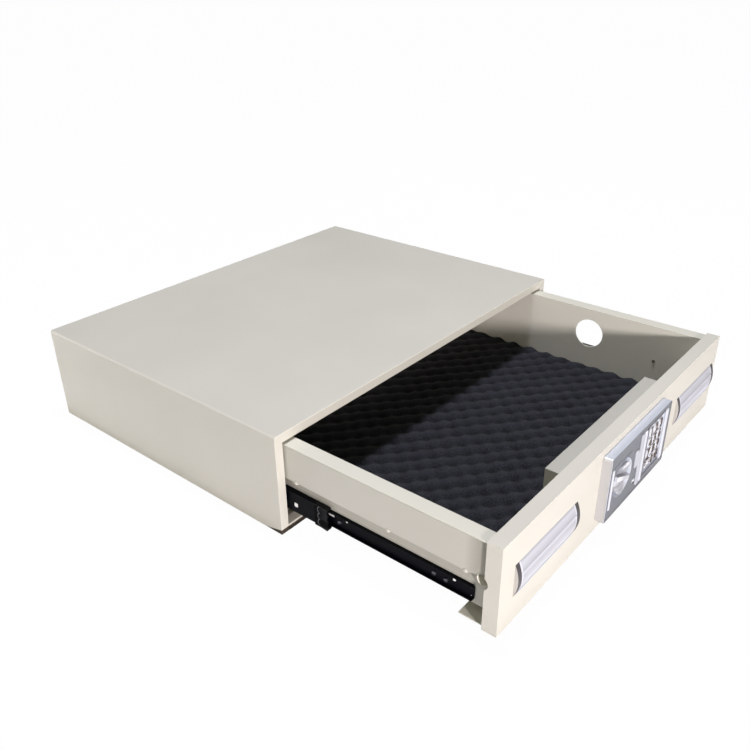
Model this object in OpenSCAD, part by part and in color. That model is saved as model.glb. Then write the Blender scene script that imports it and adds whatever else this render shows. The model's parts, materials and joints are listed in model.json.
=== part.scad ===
// Under-bed drawer safe. The origin is on the floor under the middle of the case.
// +Y points to the back of the case, +X to the right seen from the front, +Z up.
// The drawer stands part of the way out, and the two lock bolts are drawn in.

/* [Case] */
// Width over the case
case_w = 600; // [560:5:900]
// Depth over the case
case_d = 450; // [445:5:700]
// Height over the case
case_h = 136; // [130:1:180]
// Sheet of the case
case_wall = 2; // [1:0.5:3]
// Radius of the folded long edges
case_round = 3; // [2:0.5:6]
// Width of the front frame, seen from the front
lip_w = 12; // [10:0.5:14]
// Depth of the fold behind the front frame
lip_d = 13; // [6:0.5:14]
// Sheet of the fold behind the front frame
lip_t = 1.5; // [1:0.1:2]
// Height of the sill above the underside of the base plate
sill_h = 5; // [3:0.5:5]
// Gap between the side walls and the floor
side_gap = 1; // [0.5:0.5:3]

/* [Feet and floor anchors] */
// Height of the rubber strips under the base plate
foot_h = 5; // [4:0.5:6]
// Width of a rubber strip, front to back
foot_d = 44; // [40:1:48]
// Distance of a rubber strip inside the front frame
foot_inset = 1; // [0.5:0.5:10]
// Radius of an anchor hole
anchor_r = 5; // [3:0.5:6]
// Distance of the anchor holes across the case
anchor_span_x = 460; // [300:10:500]

/* [Front panel] */
// Gap between the panel and the frame
panel_gap = 1.2; // [0.8:0.1:2]
// Depth of the folded panel
panel_t = 17.5; // [17:0.5:18]
// Sheet of the panel and of the tray
sheet = 1.5; // [1:0.1:1.6]
// Reach of the lower flange behind the panel
flange_d = 30.5; // [15:0.5:40]
// Distance of the lower flange from the panel ends
flange_inset = 4.8; // [2:0.2:10]
// Radius of the bolt notch in the panel ends
notch_r = 8; // [7.5:0.5:10]

/* [Drawer] */
// How far the drawer stands out of the case
drawer_out = 284; // [250:1:284]
// Length of the tray behind the panel
tray_l = 418.5; // [405:0.5:420]
// Width of the flat rim along each side
rim_w = 18.5; // [16:0.5:24]
// Distance of the rim edge inside the panel ends
rim_inset = 1.3; // [1:0.1:2]
// Distance of the rim below the panel top
rim_drop = 2.5; // [1:0.1:5]
// Sheet of the outer side skins
skin_t = 1.2; // [0.8:0.1:1.5]
// Height of the step in the side skins above the floor
step_z = 74; // [72:0.5:80]
// Height of the lower edge of the side skins above the floor
skin_foot_z = 30.5; // [22:0.5:32]
// Height of the tray floor above the lower flange of the panel
tray_rise = 7; // [0:0.5:8]
// Width of the sunk band of the side skins next to the panel
band_w = 12; // [8:0.5:16]
// Depth of the sunk band
band_d = 2; // [1:0.5:4]
// Width of the slope between the skins and their sunk band
slope_w = 8; // [2:0.5:12]
// Radius of the cable hole in the right wall
cable_r = 22; // [10:1:24]
// Distance of the cable hole behind the panel front
cable_y = 184; // [120:1:300]
// Height of the cable hole above the floor
cable_z = 81; // [80:1:90]
// Width of the skin window on each side of the cable hole
window_side = 20; // [10:1:24]
// Corner radius of the skin window
window_round = 12; // [4:1:16]
// Thickness of the foam liner
foam_t = 7.8; // [6:0.2:16]
// Gap around the foam liner
foam_gap = 0.3; // [0.2:0.1:1]
// Radius of the dome rivets in the side skins
rivet_r = 3.2; // [2:0.1:3.5]
// Distances of the dome rivets behind the panel front
rivet_y = [40.5, 137, 270];
// Radius of the small screws in the tray walls
wall_screw_r = 2.2; // [1.5:0.1:3]
// Distance of the small screws behind the panel front
wall_screw_y = 79; // [60:1:100]
// Height of the small screws above the floor
wall_screw_z = 66.5; // [60:0.5:80]

/* [Slides] */
// Length of each slide member
slide_l = 400; // [380:5:400]
// Thickness of a closed slide
slide_t = 10; // [10:0.1:10.4]
// Height of the slide centre above the floor
slide_z = 45; // [44.6:0.1:45]
// Height of the case member
cab_h = 35.3; // [35:0.1:35.4]
// Height of the middle member
mid_h = 27.3; // [27.1:0.1:27.4]
// Height of the drawer member
inner_h = 19.2; // [19:0.1:19.4]
// Sheet of the slide members
slide_sheet = 1.2; // [1:0.1:1.2]
// Distance of the case member behind the case front
cab_set = 22; // [19:1:24]
// How far the middle member stands out of the case
mid_out = 60; // [50:1:62]
// Distance of the drawer member behind the panel front
inner_set = 32; // [32:1:40]
// Gap between flat sliding faces
slide_gap = 0.3; // [0.25:0.05:0.4]
// Sheet of the ball cages
cage_t = 0.5; // [0.4:0.1:0.5]
// Radius of a ball
ball_r = 1.3; // [1.2:0.05:1.3]
// Clearance of a ball in its cage
ball_gap = 0.2; // [0.1:0.05:0.3]
// Balls in one row
ball_count = 6; // [3:1:8]
// Length of the cage between the case member and the middle member
outer_cage_l = 180; // [120:5:200]
// Length of the cage between the middle member and the drawer member
inner_cage_l = 120; // [80:5:120]
// Distance of the outer cage behind the front end of the case member
outer_cage_set = 48; // [40:1:60]
// Distance of the inner cage behind the front end of the middle member
inner_cage_set = 44; // [40:1:50]
// Width of the square window in the middle member
window_w = 6; // [4:0.5:8]
// Distance of the square window behind the front end of the middle member
window_set = 45; // [24:1:80]
// Distance of the square window below the slide centre
window_drop = 6; // [4:0.5:7]
// Length of the plastic end guard
guard_l = 20; // [12:1:24]
// How far the guard stands out of the middle member
guard_out = 2; // [1:0.5:4]
// Length of a bracket between the case and the slide
bracket_l = 40; // [20:1:60]
// Distances of the brackets behind the front end of the case member
bracket_y = [25, 330];

/* [Lock] */
// Knob axis, measured from the middle of the panel
knob_x = -41; // [-44:1:-38]
// Height of the knob axis and of the bolts above the floor
bolt_z = 70; // [70:0.5:71]
// Distance of the bolt axis behind the panel front
bolt_back = 21.5; // [21:0.1:22]
// Radius of a bolt
bolt_r = 7; // [5:0.5:7]
// Distance of a drawn-in bolt end inside the panel end
bolt_in = 14.8; // [13:0.2:16]
// Length of the round part of a bolt
bolt_rod_l = 44; // [36:1:60]
// Width of the flat part of a bolt
bar_h = 12; // [8:0.5:13]
// Thickness of the flat part of a bolt
bar_t = 4; // [3:0.5:5]
// Radius of the circle of the crank pins
crank_r = 17; // [16:0.1:17]
// Radius of a crank pin
pin_r = 2.5; // [2:0.1:3]
// Clearance of a crank pin in its slot
pin_gap = 0.8; // [0.7:0.1:1]
// Radius of the crank disc
disc_r = 23; // [21:0.5:24]
// Thickness of the crank disc
disc_t = 4; // [3:0.5:5]
// Distance of the crank disc behind the panel front
disc_back = 7; // [5:0.5:8]
// Radius of the spindle
spindle_r = 4; // [3:0.5:5]
// Running clearance of a shaft in its bore
run_gap = 0.05; // [0.03:0.01:0.1]
// Width of the cover over the lock works
cover_w = 264; // [250:1:300]
// Depth of the cover over the lock works
cover_d = 24.5; // [20:0.5:30]
// Height of the cover over the lock works
cover_h = 78; // [70:1:80]
// How far the middle of the cover is above the bolts
cover_rise = 1; // [0:0.5:2]
// Sheet of the covers
cover_t = 1.2; // [1:0.1:1.5]
// Stock beside the slot of a bolt head
head_side = 6.5; // [4:0.5:8]
// Stock above and below the slot of a bolt head
head_stock = 4; // [3:0.5:5]
// Width of the riser between a bolt and its head
riser_w = 14; // [10:1:18]
// Clearance around a bolt in its covers
bolt_gap = 1; // [0.8:0.1:1]
// Stroke of the solenoid plunger
plunger_stroke = 4.5; // [3:0.5:5]
// Radius of the solenoid plunger
plunger_r = 2.5; // [2:0.1:3]
// Width of the solenoid across its axis
solenoid_w = 14; // [12:0.5:14]
// Length of the solenoid
solenoid_l = 32; // [28:1:40]
// Radius of a battery
cell_r = 7.1; // [5:0.1:7.25]
// Length of a battery
cell_l = 50.5; // [40:0.5:51]
// Number of batteries
cell_count = 4; // [2:1:4]

/* [Keypad housing] */
// Left edge of the housing, measured from the middle of the panel
housing_x0 = -79; // [-90:1:-74]
// Right edge of the housing, measured from the middle of the panel
housing_x1 = 91; // [88:1:110]
// Height of the housing
housing_h = 87.5; // [80:0.5:92]
// How far the middle of the housing is below the knob axis
housing_drop = 0.75; // [0:0.25:2]
// How far the housing stands out of the panel
housing_d = 11; // [10:0.5:16]
// Wall of the housing
housing_wall = 2; // [1.5:0.1:2.5]
// Corner radius of the housing
housing_round = 4; // [2:0.5:8]
// Radius of the dish around the knob at the front face
dish_r = 24.5; // [23:0.5:26]
// Depth of the dish
dish_d = 7; // [6:0.5:7]
// Radius of the knob
knob_r = 20; // [16:0.5:20]
// Thickness of the knob
knob_t = 8.2; // [7:0.1:9]
// Radius of the scoops above and below the grip
scoop_r = 30; // [28:1:40]
// Depth of the scoops
scoop_d = 5; // [3:0.5:6]
// Width of the grip across the knob
grip_w = 6; // [4:0.5:8]
// Tilt of the grip, in degrees
grip_tilt = 22; // [0:1:45]
// Middle of the keypad, measured from the middle of the panel
pad_x = 48.4; // [46:0.2:54]
// Height of the middle of the keypad above the floor
pad_z = 72; // [70:0.5:74]
// Width of the keypad plate
pad_w = 48; // [46:0.5:60]
// Height of the keypad plate
pad_h = 66; // [60:0.5:70]
// Depth of the keypad plate behind the housing front
pad_sunk = 1.5; // [1:0.1:1.5]
// Distance between key columns
key_pitch_x = 13.8; // [13:0.1:15]
// Distance between key rows
key_pitch_z = 15.1; // [14:0.1:16]
// Width of a key
key_w = 10.6; // [8:0.1:11]
// Height of a key
key_h = 11.6; // [8:0.1:12]
// How far a key stands out of the keypad plate
key_out = 1.8; // [1.5:0.1:2.2]
// How far a key goes in
key_travel = 1.2; // [0.8:0.1:1.4]
// Clearance around a key
key_gap = 0.3; // [0.2:0.05:0.4]
// Radius of the signal lamp
led_r = 2; // [1.5:0.1:3]
// How far the signal lamp stands out of the housing
led_out = 0.6; // [0.3:0.1:1]
// Signal lamp, measured from the middle of the panel
led_x = -4; // [-8:0.5:4]
// Height of the signal lamp above the floor
led_z = 44; // [36:0.5:56]

/* [Handles] */
// Distance of the left handle from the left end of the panel
handle_left_in = 26.8; // [10:0.2:50]
// Distance of the right handle from the right end of the panel
handle_right_in = 12.8; // [10:0.2:50]
// Height of the middle of a handle above the floor
handle_z = 65; // [55:0.5:75]
// Width of a handle
handle_w = 128; // [90:1:130]
// Height of a handle
handle_h = 40; // [36:0.5:50]
// How far a handle bulges out of the panel
handle_bulge = 4.8; // [3:0.1:6]
// Depth of the finger space behind the panel front
handle_depth = 14.5; // [12:0.1:15]
// Width of an end cheek
cheek_w = 6.5; // [5:0.5:10]
// Wall of the cup
cup_t = 1; // [0.8:0.1:1.5]
// Thickness of the fixed grip
pull_t = 3; // [2:0.1:3.5]
// Thickness of the flap
flap_t = 2; // [1.5:0.1:2.4]
// Height of the flap axis above the middle of a handle
flap_rise = 6.2; // [0:0.2:8]
// Radius of the flap barrel
flap_barrel_r = 2.1; // [1.9:0.1:2.4]
// Radius of the flap pins
flap_pin_r = 1.2; // [0.8:0.1:1.4]
// Depth of a flap pin in its cheek
flap_pin_l = 4; // [2:0.5:4.5]
// Gap around the flap
flap_gap = 0.3; // [0.2:0.05:0.5]

/* [Hidden] */
$fn = 48;
LEFT = -1;
RIGHT = 1;
eps = 0.01;

// Colours as seen
cream = [0.87, 0.85, 0.80];
black = [0.08, 0.08, 0.09];
silver = [0.72, 0.73, 0.76];
steel = [0.60, 0.61, 0.63];
plum = [0.28, 0.26, 0.27];
brown = [0.20, 0.16, 0.13];

// Case places
wall_x = case_w / 2 - case_wall;
front_y = -case_d / 2;
back_y = case_d / 2;
open_x = case_w / 2 - lip_w;
open_z = case_h - lip_w;
anchor_y = back_y - foot_inset - foot_d / 2;
base_z = foot_h + case_wall;
sill_z = foot_h + sill_h;

// Panel places, with depths counted back from the panel front
panel_x = open_x - panel_gap;
panel_z0 = sill_z + panel_gap;
panel_z1 = open_z - panel_gap;
panel_y = front_y - drawer_out;
panel_back = panel_y + panel_t;

// Drawer places
rim_x = panel_x - rim_inset;
tray_x = rim_x - rim_w;
tray_out_x = tray_x + sheet;
flange_top = panel_z0 + sheet;
tray_z = flange_top + tray_rise;
rim_z = panel_z1 - rim_drop;
tray_end = panel_back + tray_l;
band_y = panel_back + band_w;
member_x = open_x - slide_t;

// Slide section, from the case side inwards
cab_web_x = open_x - slide_sheet;
mid_x = cab_web_x - 2 * slide_gap - cage_t;
mid_web_x = mid_x - slide_sheet;
mid_tip_x = member_x + slide_sheet + slide_gap / 2;
cab_tip_x = member_x + 0.8;
inner_tip_x = mid_web_x - cage_t - 5 * slide_gap;
outer_race = (cab_h / 2 - slide_sheet + mid_h / 2) / 2;
inner_race = (mid_h / 2 - slide_sheet + inner_h / 2) / 2;

// Slide places
cab_y = front_y + cab_set;
mid_y = front_y - mid_out;
inner_y = panel_y + inner_set;
outer_cage_y = cab_y + outer_cage_set;
inner_cage_y = mid_y + inner_cage_set;

// Lock places
bolt_y = panel_y + bolt_back;
bolt_tip = panel_x - bolt_in;
pin_side = crank_r * sin(45);
slot_r = pin_r + pin_gap;
cover_z = bolt_z + cover_rise - cover_h / 2;
disc_y = panel_y + disc_back;

// Housing places
housing_y = panel_y - housing_d;
housing_z0 = bolt_z - housing_drop - housing_h / 2;
housing_z1 = housing_z0 + housing_h;
plate_y = housing_y + pad_sunk;
key_cols = [-1, 0, 1];
key_rows = [1.5, 0.5, -0.5, -1.5];
board_t = 1.6;
board_gap = 1.4;
board_y = panel_y - board_gap - board_t;

// Handle section: an arc through both edges of the handle
handle_r = (handle_h * handle_h / 4 + handle_bulge * handle_bulge) / (2 * handle_bulge);
handle_arc_y = panel_y - handle_bulge + handle_r;
flap_z = handle_z + flap_rise;
flap_y = handle_arc_y - sqrt(handle_r * handle_r - flap_rise * flap_rise) + flap_barrel_r;
flap_foot = handle_z - handle_h / 2 + cup_t + 4 * flap_gap;
pull_foot = flap_z + flap_barrel_r + flap_gap;
handle_floor = panel_y + handle_depth;
cup_x = handle_w / 2 - cheek_w;
handle_left_x = -panel_x + handle_left_in + handle_w / 2;
handle_right_x = panel_x - handle_right_in - handle_w / 2;

// Box between two corners
module span(x, y, z) {
    translate([x[0], y[0], z[0]]) cube([x[1] - x[0], y[1] - y[0], z[1] - z[0]]);
}

// Section drawn in X and Z, drawn out along Y
module along_y(y) {
    translate([0, y[1], 0]) rotate([90, 0, 0]) linear_extrude(y[1] - y[0]) children();
}

// Round bar along X
module rod_x(r, x, y, z) {
    translate([x[0], y, z]) rotate([0, 90, 0]) cylinder(r = r, h = x[1] - x[0]);
}

// Round bar along Y
module rod_y(r, y, x, z) {
    translate([x, y[1], z]) rotate([90, 0, 0]) cylinder(r = r, h = y[1] - y[0]);
}

// What is drawn for the right side, or its mirror for the left
module on_side(side) {
    if (side == LEFT) mirror([1, 0, 0]) children();
    else children();
}

// Rectangle with four round corners, by its corners
module round_rect(x, z, r) {
    translate([x[0] + r, z[0]]) square([x[1] - x[0] - 2 * r, z[1] - z[0]]);
    translate([x[0], z[0] + r]) square([x[1] - x[0], z[1] - z[0] - 2 * r]);
    for (cx = [x[0] + r, x[1] - r], cz = [z[0] + r, z[1] - r]) translate([cx, cz]) circle(r);
}

// Upright outline of the case with its two folded edges
module case_outline() {
    w = case_w / 2;
    translate([-w, side_gap]) square([case_w, case_h - case_round - side_gap]);
    translate([-w + case_round, side_gap]) square([case_w - 2 * case_round, case_h - side_gap]);
    for (s = [-1, 1]) translate([s * (w - case_round), case_h - case_round]) circle(case_round);
}

module case_sleeve() {
    color(cream) {
        difference() {
            along_y([front_y, back_y]) case_outline();
            span([-wall_x, wall_x], [front_y + case_wall, back_y + 1], [0, case_h - case_wall]);
            span([-open_x, open_x], [front_y - 1, back_y], [0, open_z]);
        }
        for (side = [LEFT, RIGHT]) on_side(side)
            span([open_x, open_x + lip_t], [front_y + case_wall, front_y + lip_d], [sill_z, open_z]);
        span([-open_x - lip_t, open_x + lip_t], [front_y + case_wall, front_y + lip_d],
            [open_z, open_z + lip_t]);
    }
}

module case_back() {
    color(cream) span([-wall_x, wall_x], [back_y - case_wall, back_y], [foot_h, case_h - case_wall]);
}

// Anchor holes through the base plate and the rubber strips
module anchor_holes() {
    for (sx = [-1, 1], sy = [-1, 1])
        translate([sx * anchor_span_x / 2, sy * anchor_y, -1]) cylinder(r = anchor_r, h = sill_z + 1);
}

module case_base() {
    color(cream) difference() {
        union() {
            span([-wall_x, wall_x], [front_y + case_wall, back_y - case_wall], [foot_h, base_z]);
            span([-open_x, open_x], [front_y, front_y + case_wall], [foot_h, sill_z]);
            span([-open_x, open_x], [front_y, front_y + lip_d], [sill_z - lip_t, sill_z]);
        }
        anchor_holes();
    }
}

module foot_strips() {
    color(brown) difference() {
        for (y = [front_y + foot_inset, back_y - foot_inset - foot_d])
            span([-open_x + foot_inset, open_x - foot_inset], [y, y + foot_d], [0, foot_h]);
        anchor_holes();
    }
}

// Channel section: web face at x_web, flange tips at x_tip
module channel(x_web, x_tip, h) {
    x0 = min(x_web, x_tip);
    x1 = max(x_web, x_tip);
    inner = x_web > x_tip ? [x0 - 1, x1 - slide_sheet] : [x0 + slide_sheet, x1 + 1];
    difference() {
        translate([x0, slide_z - h / 2]) square([x1 - x0, h]);
        translate([inner[0], slide_z - h / 2 + slide_sheet])
            square([inner[1] - inner[0], h - 2 * slide_sheet]);
    }
}

module slide_brackets(side) {
    h = cab_h - 1;
    color(cream) on_side(side) for (y = bracket_y) difference() {
        span([open_x, wall_x], [cab_y + y, cab_y + y + bracket_l], [slide_z - h / 2, slide_z + h / 2]);
        span([open_x + case_wall, wall_x + 1], [cab_y + y - 1, cab_y + y + bracket_l + 1],
            [slide_z - h / 2 + case_wall, slide_z + h / 2 - case_wall]);
    }
}

module slide_case_member(side) {
    color(black) on_side(side) along_y([cab_y, cab_y + slide_l]) channel(open_x, cab_tip_x, cab_h);
}

module slide_middle_member(side) {
    window_y = mid_y + window_set;
    window_z = slide_z - window_drop;
    color(black) on_side(side) difference() {
        along_y([mid_y, mid_y + slide_l]) channel(mid_x, mid_tip_x, mid_h);
        span([mid_web_x - 0.5, mid_x + 1], [window_y, window_y + window_w], [window_z, window_z + window_w]);
    }
}

// Holes in the web of the drawer member: distance from its front end, height, length, width
inner_holes = [[22, 1, 5, 4], [166, 2.5, 3.5, 3.5], [186, 1.2, 9, 3.2], [233, -6, 12, 9]];

module slide_drawer_member(side) {
    color(black) on_side(side) difference() {
        along_y([inner_y, inner_y + slide_l]) channel(member_x, inner_tip_x, inner_h);
        for (hole = inner_holes) {
            y = inner_y + hole[0];
            z = slide_z + hole[1];
            span([member_x - 1, member_x + slide_sheet + 0.5], [y, y + hole[2]], [z, z + hole[3]]);
        }
    }
}

// Plastic cap on the front end of the middle member, inside the case member
module slide_guard(side) {
    face = mid_x + 2 * slide_gap;
    reach = cab_h / 2 - slide_sheet - slide_gap;
    y0 = mid_y - guard_out;
    color(black) on_side(side) difference() {
        span([mid_tip_x + slide_gap, face], [y0, y0 + guard_l], [slide_z - reach, slide_z + reach]);
        span([mid_tip_x - 1, mid_x], [mid_y, y0 + guard_l + 1], [slide_z - mid_h / 2, slide_z + mid_h / 2]);
        span([mid_tip_x - 1, mid_web_x], [y0 - 1, mid_y + 1],
            [slide_z - mid_h / 2 + slide_sheet, slide_z + mid_h / 2 - slide_sheet]);
    }
}

// Bent strip that holds two rows of balls at the height race above and below the centre
module ball_cage(x_web, x_tip, ball_x, race, y0, l) {
    pitch = l / ball_count;
    rows = [for (i = [0 : ball_count - 1]) y0 + (i + 0.5) * pitch];
    difference() {
        span([x_tip, x_web], [y0, y0 + l], [slide_z - race - cage_t / 2, slide_z + race + cage_t / 2]);
        span([x_tip - 1, x_web - cage_t], [y0 - 1, y0 + l + 1],
            [slide_z - race + cage_t / 2, slide_z + race - cage_t / 2]);
        for (y = rows) translate([ball_x, y, slide_z - race - 1])
            cylinder(r = ball_r + ball_gap, h = 2 * race + 2);
    }
    for (y = rows, s = [-1, 1]) translate([ball_x, y, slide_z + s * race]) sphere(ball_r, $fn = 24);
}

module ball_cage_outer(side) {
    color(steel) on_side(side)
        ball_cage(mid_x + slide_gap + cage_t, mid_tip_x + 1, (mid_x + mid_tip_x) / 2, outer_race,
            outer_cage_y, outer_cage_l);
}

module ball_cage_inner(side) {
    color(steel) on_side(side)
        ball_cage(mid_web_x - slide_gap, mid_tip_x + 0.5, (inner_tip_x + member_x + slide_sheet) / 2,
            inner_race, inner_cage_y, inner_cage_l);
}

module drawer_tray() {
    color(cream) difference() {
        union() {
            span([-tray_out_x, tray_out_x], [panel_back, tray_end], [tray_z, rim_z]);
            span([-rim_x, rim_x], [panel_back, tray_end], [rim_z - sheet, rim_z]);
        }
        span([-tray_x, tray_x], [panel_back - 1, tray_end - sheet], [tray_z + sheet, rim_z + 1]);
        rod_x(cable_r, [tray_x - 1, tray_out_x + 1], panel_y + cable_y, cable_z);
        for (side = [LEFT, RIGHT]) on_side(side)
            rod_x(bolt_r + slide_gap, [tray_x - 1, tray_out_x + 1], bolt_y, bolt_z);
    }
}

// Plan of a side skin, with its slope down to the sunk band next to the panel
module skin_plan(inset, y) {
    band_x = rim_x - band_d - inset;
    polygon([
        [tray_out_x, y[0]], [band_x, y[0]], [band_x, band_y],
        [rim_x - inset, band_y + slope_w], [rim_x - inset, y[1]], [tray_out_x, y[1]]
    ]);
}

// Section of a side skin: upper wall, step, lower wall and foot
module skin_outline(inset) {
    foot = skin_foot_z + inset;
    step = step_z + inset;
    polygon([
        [tray_out_x, foot], [member_x - inset, foot], [member_x - inset, step],
        [rim_x - inset, step], [rim_x - inset, rim_z - sheet], [tray_out_x, rim_z - sheet]
    ]);
}

module skin_body(inset, y) {
    intersection() {
        along_y(y) skin_outline(inset);
        linear_extrude(rim_z) skin_plan(inset, y);
    }
}

module drawer_skin(side) {
    side_w = cable_r + window_side;
    window = [slide_z + inner_h / 2 + 1, cable_z + cable_r + 4];
    color(cream) on_side(side) difference() {
        skin_body(0, [panel_back, tray_end]);
        skin_body(skin_t, [panel_back - 1, tray_end - skin_t]);
        rod_x(bolt_r + bolt_gap, [tray_out_x - 1, rim_x + 1], bolt_y, bolt_z);
        if (side == RIGHT)
            translate([0, panel_y + cable_y, 0]) rotate([90, 0, 90]) linear_extrude(case_w)
                round_rect([-side_w, side_w], window, window_round);
    }
}

// Round studs on the lower edge of the upper wall of both skins
module skin_rivets() {
    head = 1.2;
    color(cream) for (side = [LEFT, RIGHT], y = rivet_y) on_side(side) difference() {
        translate([rim_x - rivet_r + head, panel_y + y, step_z]) sphere(rivet_r);
        span([tray_x, rim_x], [panel_y + y - 2 * rivet_r, panel_y + y + 2 * rivet_r], [step_z, rim_z]);
    }
}

module tray_wall_screws() {
    head = 1.2;
    color(black) for (side = [LEFT, RIGHT]) on_side(side)
        rod_x(wall_screw_r, [tray_x - head, tray_x], panel_y + wall_screw_y, wall_screw_z);
}

module foam_liner() {
    z0 = tray_z + sheet + foam_gap;
    y = [panel_back + foam_gap, tray_end - sheet - foam_gap];
    color(black) span([-tray_x + foam_gap, tray_x - foam_gap], y, [z0, z0 + foam_t]);
}

// Space of both handles in the panel front
module handle_holes() {
    for (x = [handle_left_x, handle_right_x])
        span([x - handle_w / 2 - slide_gap, x + handle_w / 2 + slide_gap], [panel_y - 1, panel_y + sheet + 1],
            [handle_z - handle_h / 2 - slide_gap, handle_z + handle_h / 2 + slide_gap]);
}

module panel_shell() {
    color(cream) {
        difference() {
            span([-panel_x, panel_x], [panel_y, panel_back], [panel_z0, panel_z1]);
            span([-panel_x + sheet, panel_x - sheet], [panel_y + sheet, panel_back + 1],
                [panel_z0 + sheet, panel_z1 - sheet]);
            handle_holes();
            rod_y(spindle_r + 1, [panel_y - 1, panel_y + sheet + 1], knob_x, bolt_z);
            rod_y(spindle_r + 1, [panel_y - 1, panel_y + sheet + 1], pad_x, pad_z);
            rod_x(notch_r, [-panel_x - 1, panel_x + 1], bolt_y, bolt_z);
        }
        span([-panel_x + flange_inset, panel_x - flange_inset], [panel_back, panel_back + flange_d],
            [panel_z0, panel_z0 + sheet]);
    }
}

module panel_back_plate() {
    slot_x = bolt_tip - bolt_rod_l - bolt_gap - 3;
    margin = 4;
    color(cream) difference() {
        span([-panel_x + sheet, panel_x - sheet], [panel_back - sheet, panel_back],
            [flange_top, panel_z1 - sheet]);
        span([-cover_w / 2 + margin, cover_w / 2 - margin], [panel_y, panel_back + 1],
            [cover_z + margin, cover_z + cover_h - margin]);
        for (side = [LEFT, RIGHT]) on_side(side)
            span([slot_x, panel_x], [panel_y, panel_back + 1], [bolt_z - notch_r, bolt_z + notch_r]);
    }
}

module lock_cover() {
    color(cream) difference() {
        span([-cover_w / 2, cover_w / 2], [panel_back, panel_back + cover_d], [cover_z, cover_z + cover_h]);
        span([-cover_w / 2 + cover_t, cover_w / 2 - cover_t],
            [panel_back - 1, panel_back + cover_d - cover_t],
            [cover_z + cover_t, cover_z + cover_h - cover_t]);
        span([-cover_w / 2 - 1, cover_w / 2 + 1], [panel_back - 1, bolt_y + bar_t / 2 + bolt_gap],
            [bolt_z - bar_h / 2 - bolt_gap, bolt_z + bar_h / 2 + bolt_gap]);
    }
}

// Folded channel over a bolt, between the lock cover and the tray wall
module bolt_cover(side) {
    inner = bolt_r + bolt_gap;
    outer = inner + cover_t;
    x = [cover_w / 2 + slide_gap, tray_x - slide_gap];
    color(cream) on_side(side) difference() {
        span(x, [panel_back, bolt_y + outer], [bolt_z - outer, bolt_z + outer]);
        span([x[0] - 1, x[1] + 1], [panel_back - 1, bolt_y + inner], [bolt_z - inner, bolt_z + inner]);
    }
}

// Revolved cut of the dish, mouth forward
module dish() {
    translate([knob_x, housing_y, bolt_z]) rotate([-90, 0, 0])
        rotate_extrude($fn = 96) polygon([
            [0, -1], [dish_r + 0.5, -1], [dish_r, 0], [dish_r - 1.2, 2.5], [dish_r - 3.4, dish_d], [0, dish_d]
        ]);
}

module lock_housing() {
    x = [housing_x0, housing_x1];
    z = [housing_z0, housing_z1];
    inner_x = [x[0] + housing_wall, x[1] - housing_wall];
    inner_z = [z[0] + housing_wall, z[1] - housing_wall];
    color(silver) difference() {
        union() {
            difference() {
                along_y([housing_y, panel_y]) round_rect(x, z, housing_round);
                along_y([housing_y + housing_wall, panel_y + 1])
                    round_rect(inner_x, inner_z, housing_round - housing_wall / 2);
            }
            rod_y(dish_r + housing_wall, [housing_y + eps, panel_y], knob_x, bolt_z);
        }
        dish();
        rod_y(spindle_r + run_gap, [housing_y, panel_y + 1], knob_x, bolt_z);
        rod_y(led_r + run_gap, [housing_y - 1, housing_y + 2 * housing_wall], led_x, led_z);
        span([pad_x - pad_w / 2 - run_gap, pad_x + pad_w / 2 + run_gap], [housing_y - 1, housing_y + 3],
            [pad_z - pad_h / 2 - run_gap, pad_z + pad_h / 2 + run_gap]);
    }
}

module keypad_plate() {
    hole = [key_w / 2 + key_gap, key_h / 2 + key_gap];
    color(silver) difference() {
        span([pad_x - pad_w / 2, pad_x + pad_w / 2], [plate_y, plate_y + housing_wall],
            [pad_z - pad_h / 2, pad_z + pad_h / 2]);
        for (c = key_cols, r = key_rows)
            translate([pad_x + c * key_pitch_x - hole[0], plate_y - 1, pad_z + r * key_pitch_z - hole[1]])
                cube([2 * hole[0], housing_wall + 2, 2 * hole[1]]);
    }
}

module signal_lamp() {
    color("white") rod_y(led_r, [housing_y - led_out, housing_y + housing_wall], led_x, led_z);
}

// Key in column c and row r, both counted from the top left
module key(c, r) {
    x = pad_x + key_cols[c] * key_pitch_x;
    z = pad_z + key_rows[r] * key_pitch_z;
    back = board_y - key_travel - key_gap;
    color(silver) along_y([plate_y - key_out, back])
        round_rect([x - key_w / 2, x + key_w / 2], [z - key_h / 2, z + key_h / 2], 1.6);
}

// Round knob with a scoop above and below its grip
module turn_knob() {
    back = housing_y + dish_d - slide_gap;
    front = back - knob_t;
    color(silver) difference() {
        rod_y(knob_r, [front, back], knob_x, bolt_z);
        translate([knob_x, front - scoop_r + scoop_d, bolt_z]) rotate([0, grip_tilt, 0]) for (s = [-1, 1])
            intersection() {
                rotate([0, 90, 0]) cylinder(r = scoop_r, h = 3 * knob_r, center = true, $fn = 96);
                span([-knob_r - 1, knob_r + 1], [0, 2 * scoop_r],
                    s > 0 ? [grip_w / 2, 2 * knob_r] : [-2 * knob_r, -grip_w / 2]);
            }
    }
}

module spindle() {
    color(steel) rod_y(spindle_r, [housing_y + dish_d - slide_gap, disc_y], knob_x, bolt_z);
}

// Disc with two notches for the plunger and one pin for each bolt
module crank_disc() {
    notch_h = plunger_r + 1;
    color(steel) {
        difference() {
            rod_y(disc_r, [disc_y, disc_y + disc_t], knob_x, bolt_z);
            translate([knob_x, disc_y - 1, bolt_z]) {
                span([disc_r - plunger_stroke - 1, disc_r + 1], [0, disc_t + 2], [-notch_h, notch_h]);
                span([-notch_h, notch_h], [0, disc_t + 2], [-disc_r - 1, -disc_r + plunger_stroke + 1]);
            }
        }
        for (side = [-pin_side, pin_side])
            rod_y(pin_r, [disc_y + disc_t, bolt_y + bar_t / 2 + 1], knob_x + side, bolt_z + side);
    }
}

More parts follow.
